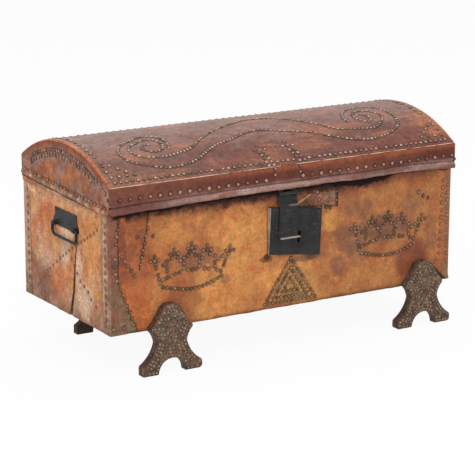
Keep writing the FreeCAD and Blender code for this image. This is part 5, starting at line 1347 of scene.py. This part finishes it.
class CHEST_OT_corner_strips(ChestOperator):
    """Nailed strips folded round the upright corners"""

    bl_idname = "chest.corner_strips"
    bl_label = "Corner strips"

    def execute(self, context):
        wide = HALF + STRIP_HIGH.x
        deep = STRIP_HIGH.y - FRONT
        for label, side, outward, heads in (
            ("front_left", -1, -1, ("front", "left_end")),
            ("front_right", 1, -1, ("front", "right_end")),
            ("back_left", -1, 1, ("back", "left_end")),
            ("back_right", 1, 1, ("back", "right_end")),
        ):
            lay = strip_place(side, outward)
            columns = steps(-deep - FOLD / 2, -FOLD / 2, END_GRID)[:-1]
            columns += steps(-FOLD / 2, FOLD / 2, ROLL_GRID)[:-1]
            columns += steps(FOLD / 2, wide + FOLD / 2, END_GRID)
            low, high = columns[0], columns[-1]

            def ragged(u, z, lay=lay, low=low, high=high, seed=side + 2 * outward):
                share = fall(min(u - low, high - u), 8 * MM)
                point, out = lay(u + hollows((u * 0.01, seed, z), 0.025, 7) * 1.6 * MM * share, z)
                skived = fall(high - u, 10 * MM) ** 2 * 1.1 * MM
                curl = 0.0
                if (side, outward) == (1, -1):
                    curl = 4 * MM * (fall(abs(u - 8 * MM), 24 * MM) * fall(z - BOTTOM, 16 * MM)) ** 1.5
                return point + out * (curl - skived), out

            piece = sheet(label + "_strip_skin", columns, steps(BOTTOM, RIM, END_GRID), ragged, heads,
                          5 + side, STRIP_LIFT, relief=0.5, soil=0.3, marks=strip_marks(low, outward))
            settle(piece, "strip_hide", "chest", "strip_leather", label + "_corner_strip")
        return {"FINISHED"}


def strip_marks(low, outward):
    """Soil along a strip's edge on the end, and the painted shadow under the flap on the front strips."""

    def marks(u, z, point):
        edge = 0.35 * fall(u - low, 2.5 * MM)
        if outward > 0:
            return edge, 0.0
        inwards = clamped((HALF - abs(point.x)) / (14 * MM))
        return max(edge, inwards * flap_shadow(point.x, z, point)[0]), 0.0

    return marks


class CHEST_OT_lid_leather(ChestOperator):
    """Leather of the lid: top, front flap, back and the two ends"""

    bl_idname = "chest.lid_leather"
    bl_label = "Lid leather"

    def execute(self, context):
        arc = DOME_RADIUS * ROLL_ANGLE
        roll = EDGE_ROLL * (math.pi / 2 - ROLL_ANGLE)
        drop = DOME_Z + ROLL_INNER * math.cos(ROLL_ANGLE) - DOME_LOW.z
        edge = arc + roll + max(drop, 0)
        rows = steps(-edge, -arc, ROLL_GRID)[:-1] + steps(-arc, arc, LID_GRID)[:-1]
        rows += steps(arc, edge, ROLL_GRID)
        end = HALF_LID - EDGE_ROLL
        far = end + EDGE_ROLL * math.pi / 2
        columns = steps(-far, -end, END_ROLL_GRID)[:-1] + steps(-end, end, LID_GRID)[:-1]
        columns += steps(end, far, END_ROLL_GRID)

        # Pale along the lid's rolled edges: rubbing and a painted highlight where the roll catches the light.
        def rubbed_and_lit_rolls(u, v, point):
            rolled = fall(abs(abs(v) - arc - roll * 0.35), 1.8 * MM)
            ends = fall(abs(abs(u) - end - 1 * MM), 2 * MM)
            return 0.0, clamped(max(rolled * (0.95 + 0.9 * hollows(point, 0.03, 2)), ends * 0.35))

        # Darker along the flap's hanging edge, and painted shade in the crease above its bulge.
        def flap_crease_shade(u, v, point):
            return 0.5 * fall(v, 0.05) + 0.7 * fall(abs(v - 0.29), 0.06), 0.0

        sheet_on("lid_top_skin", "lid_top_leather", "dome_hide", columns, rows, dome_place, ["dome"], 8,
                 marks=rubbed_and_lit_rolls)
        sheet_on("lid_front_skin", "lid_front_leather", "skirt_hide", steps(-HALF_LID, HALF_LID, LID_GRID),
                 [height / 17 for height in range(18)], skirt_place, ["skirt"], 9, relief=0.7,
                 marks=flap_crease_shade)
        low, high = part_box("lid_back_leather")
        wide, tall = LID_BACK_GRID
        sheet_on("lid_back_skin", "lid_back_leather", "skirt_hide", steps(-HALF_LID, HALF_LID, wide),
                 steps(low.z, high.z, tall), back_place, ["lid_back"], 10)
        low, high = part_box("lid_left_end_leather")
        for label, side in (("left", -1), ("right", 1)):
            sheet_on("lid_%s_end_skin" % label, "lid_%s_end_leather" % label, "lid_end_hide",
                     steps(low.y, high.y, LID_END_GRID), [height / 32 for height in range(33)],
                     lid_end_place(side), ["lid_" + label], 11 + side, marks=ledge_shadow)
        return {"FINISHED"}


class CHEST_OT_feet(ChestOperator):
    """Feet, their leather and the bearers under the bottom"""

    bl_idname = "chest.feet"
    bl_label = "Feet"

    def execute(self, context):
        for node in ("front_left_foot", "front_right_foot", "rear_left_foot", "rear_right_foot",
                     "left_foot_bearer", "right_foot_bearer"):
            covered = node.startswith("front")
            piece = refined(node + "_plank", node, 1.2 * MM, rounded=toes(node) if covered else None)
            settle(piece, "foot_edge" if covered else "foot_plank", "chest", "foot_wood", node)
        for side in ("left", "right"):
            node = "front_%s_foot_leather" % side
            piece = refined(node + "_skin", node, 0.6 * MM, rounded=toes(node))
            settle(piece, "foot_hide", "chest", "foot_leather", node)
        return {"FINISHED"}


TOE_RADIUS = 6 * MM


def toes(node):
    """Which edges of a front foot are its toes' outer corners, and how far they are rounded."""
    low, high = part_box(node)

    def chosen(a, b):
        level = abs(a.x - b.x) < 0.1 * MM and abs(a.z - b.z) < 0.1 * MM
        outer = min(a.x - low.x, high.x - a.x) < 1 * MM
        return level and outer and a.z < BOTTOM / 2

    return chosen, TOE_RADIUS


class CHEST_OT_boards(ChestOperator):
    """Boards of the body and the lid, seen when the lid is open"""

    bl_idname = "chest.boards"
    bl_label = "Boards"

    def execute(self, context):
        long_boards = ["bottom_board", "front_board", "back_board"]
        end_boards = ["left_end_board", "right_end_board"]
        lid_long = ["lid_front_board", "lid_back_board"] + ["lid_stave_%d" % n for n in range(1, 6)]
        lid_ends = ["lid_left_end_board", "lid_right_end_board"]
        for nodes, material, body in (
            (long_boards, "long_board", "chest"),
            (end_boards, "end_board", "chest"),
            (lid_long, "long_board", "lid"),
            (lid_ends, "end_board", "lid"),
        ):
            for node in nodes:
                piece = refined(node + "_wood", node, 0.6 * MM, 1)
                settle(piece, material, body, "oak_board", node)
        return {"FINISHED"}


class CHEST_OT_lock(ChestOperator):
    """Lock case, its back plate, bolt and spring"""

    bl_idname = "chest.lock"
    bl_label = "Lock"

    def execute(self, context):
        forged("lock_case_iron", "lock_case", 0.7 * MM, 3, "case_iron")
        forged("lock_back_iron", "lock_back_plate", 0.3 * MM, 1)
        forged("lock_bolt_iron", "lock_bolt", 0.3 * MM, 1, body="bolt")
        keep("lock_spring", "black_iron")
        return {"FINISHED"}


def forged(name, node, bevel, segments, material="black_iron", body="chest"):
    """A piece of ironwork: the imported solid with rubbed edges, in its finish and on its body."""
    settle(refined(name, node, bevel, segments), material, body, "black_iron", node)


class CHEST_OT_hasp(ChestOperator):
    """Hasp with its leaf, pin and staple"""

    bl_idname = "chest.hasp"
    bl_label = "Hasp"

    def execute(self, context):
        forged("hasp_iron", "hasp", 0.6 * MM, 2, "hasp_iron", "hasp")
        forged("hasp_staple_iron", "hasp_staple", 0.5 * MM, 2, body="hasp")
        keep("hasp_leaf", "black_iron")
        keep("hasp_pin", "black_iron")
        return {"FINISHED"}


class CHEST_OT_handles(ChestOperator):
    """Handle plates with their drop bails"""

    bl_idname = "chest.handles"
    bl_label = "Handles"

    def execute(self, context):
        for side in ("left", "right"):
            keep(side + "_handle_plate", "black_iron")
            keep(side + "_handle_bail", "black_iron")
        return {"FINISHED"}


class CHEST_OT_hinges(ChestOperator):
    """Strap hinges on the back"""

    bl_idname = "chest.hinges"
    bl_label = "Hinges"

    def execute(self, context):
        for side in ("left", "right"):
            for part in ("_hinge_body_leaf", "_hinge_lid_leaf", "_hinge_pin"):
                keep(side + part, "black_iron")
        return {"FINISHED"}


class CHEST_OT_nails(ChestOperator):
    """Domed brass nails of the ornaments and borders, and the iron nails"""

    bl_idname = "chest.nails"
    bl_label = "Nails"

    def execute(self, context):
        nail_heads("front_nails", ["front"], "body_brass", "chest")
        nail_heads("end_nails", ["left_end", "right_end", "back"], "body_brass", "chest")
        nail_heads("foot_nails", ["feet"], "foot_brass", "chest")
        nail_heads("lid_top_nails", ["dome"], "lid_brass", "lid")
        nail_heads("lid_side_nails", ["skirt", "lid_back", "lid_left", "lid_right"], "side_brass", "lid")
        keep("iron_nails", "nail_iron")
        keep("lid_iron_nails", "nail_iron")
        return {"FINISHED"}


def keep(node, material):
    """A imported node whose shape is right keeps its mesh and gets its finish."""
    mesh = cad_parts[node].data
    mesh.materials.clear()
    mesh.materials.append(finish(material))


class CHEST_PT_panel(bpy.types.Panel):
    """Lists what the chest is made of"""

    bl_label = "Chest"
    bl_idname = "CHEST_PT_panel"
    bl_space_type = "VIEW_3D"
    bl_region_type = "UI"
    bl_category = "Chest"

    def draw(self, context):
        for operator in OPERATORS:
            self.layout.operator(operator.bl_idname)
        for group in GROUPS:
            box = self.layout.box()
            look = getattr(context.scene, group)
            for name in look.bl_rna.properties.keys():
                if name not in ("rna_type", "name"):
                    box.prop(look, name)


OPERATORS = (
    CHEST_OT_stage, CHEST_OT_body_leather, CHEST_OT_corner_strips, CHEST_OT_lid_leather, CHEST_OT_feet,
    CHEST_OT_boards, CHEST_OT_lock, CHEST_OT_hasp, CHEST_OT_handles, CHEST_OT_hinges, CHEST_OT_nails,
)
GROUPS = {
    "chest_leather": LeatherLook,
    "chest_nails": NailLook,
    "chest_iron": IronLook,
    "chest_wood": WoodLook,
    "chest_stage": StageLook,
}


def register():
    for group, look in GROUPS.items():
        bpy.utils.register_class(look)
        setattr(bpy.types.Scene, group, PointerProperty(type=look))
    for operator in OPERATORS:
        bpy.utils.register_class(operator)
    bpy.utils.register_class(CHEST_PT_panel)


def unregister():
    bpy.utils.unregister_class(CHEST_PT_panel)
    for operator in reversed(OPERATORS):
        bpy.utils.unregister_class(operator)
    for group, look in GROUPS.items():
        delattr(bpy.types.Scene, group)
        bpy.utils.unregister_class(look)


def main():
    register()
    for operator in OPERATORS:
        family, name = operator.bl_idname.split(".")
        getattr(getattr(bpy.ops, family), name)()


if __name__ == "__main__":
    main()
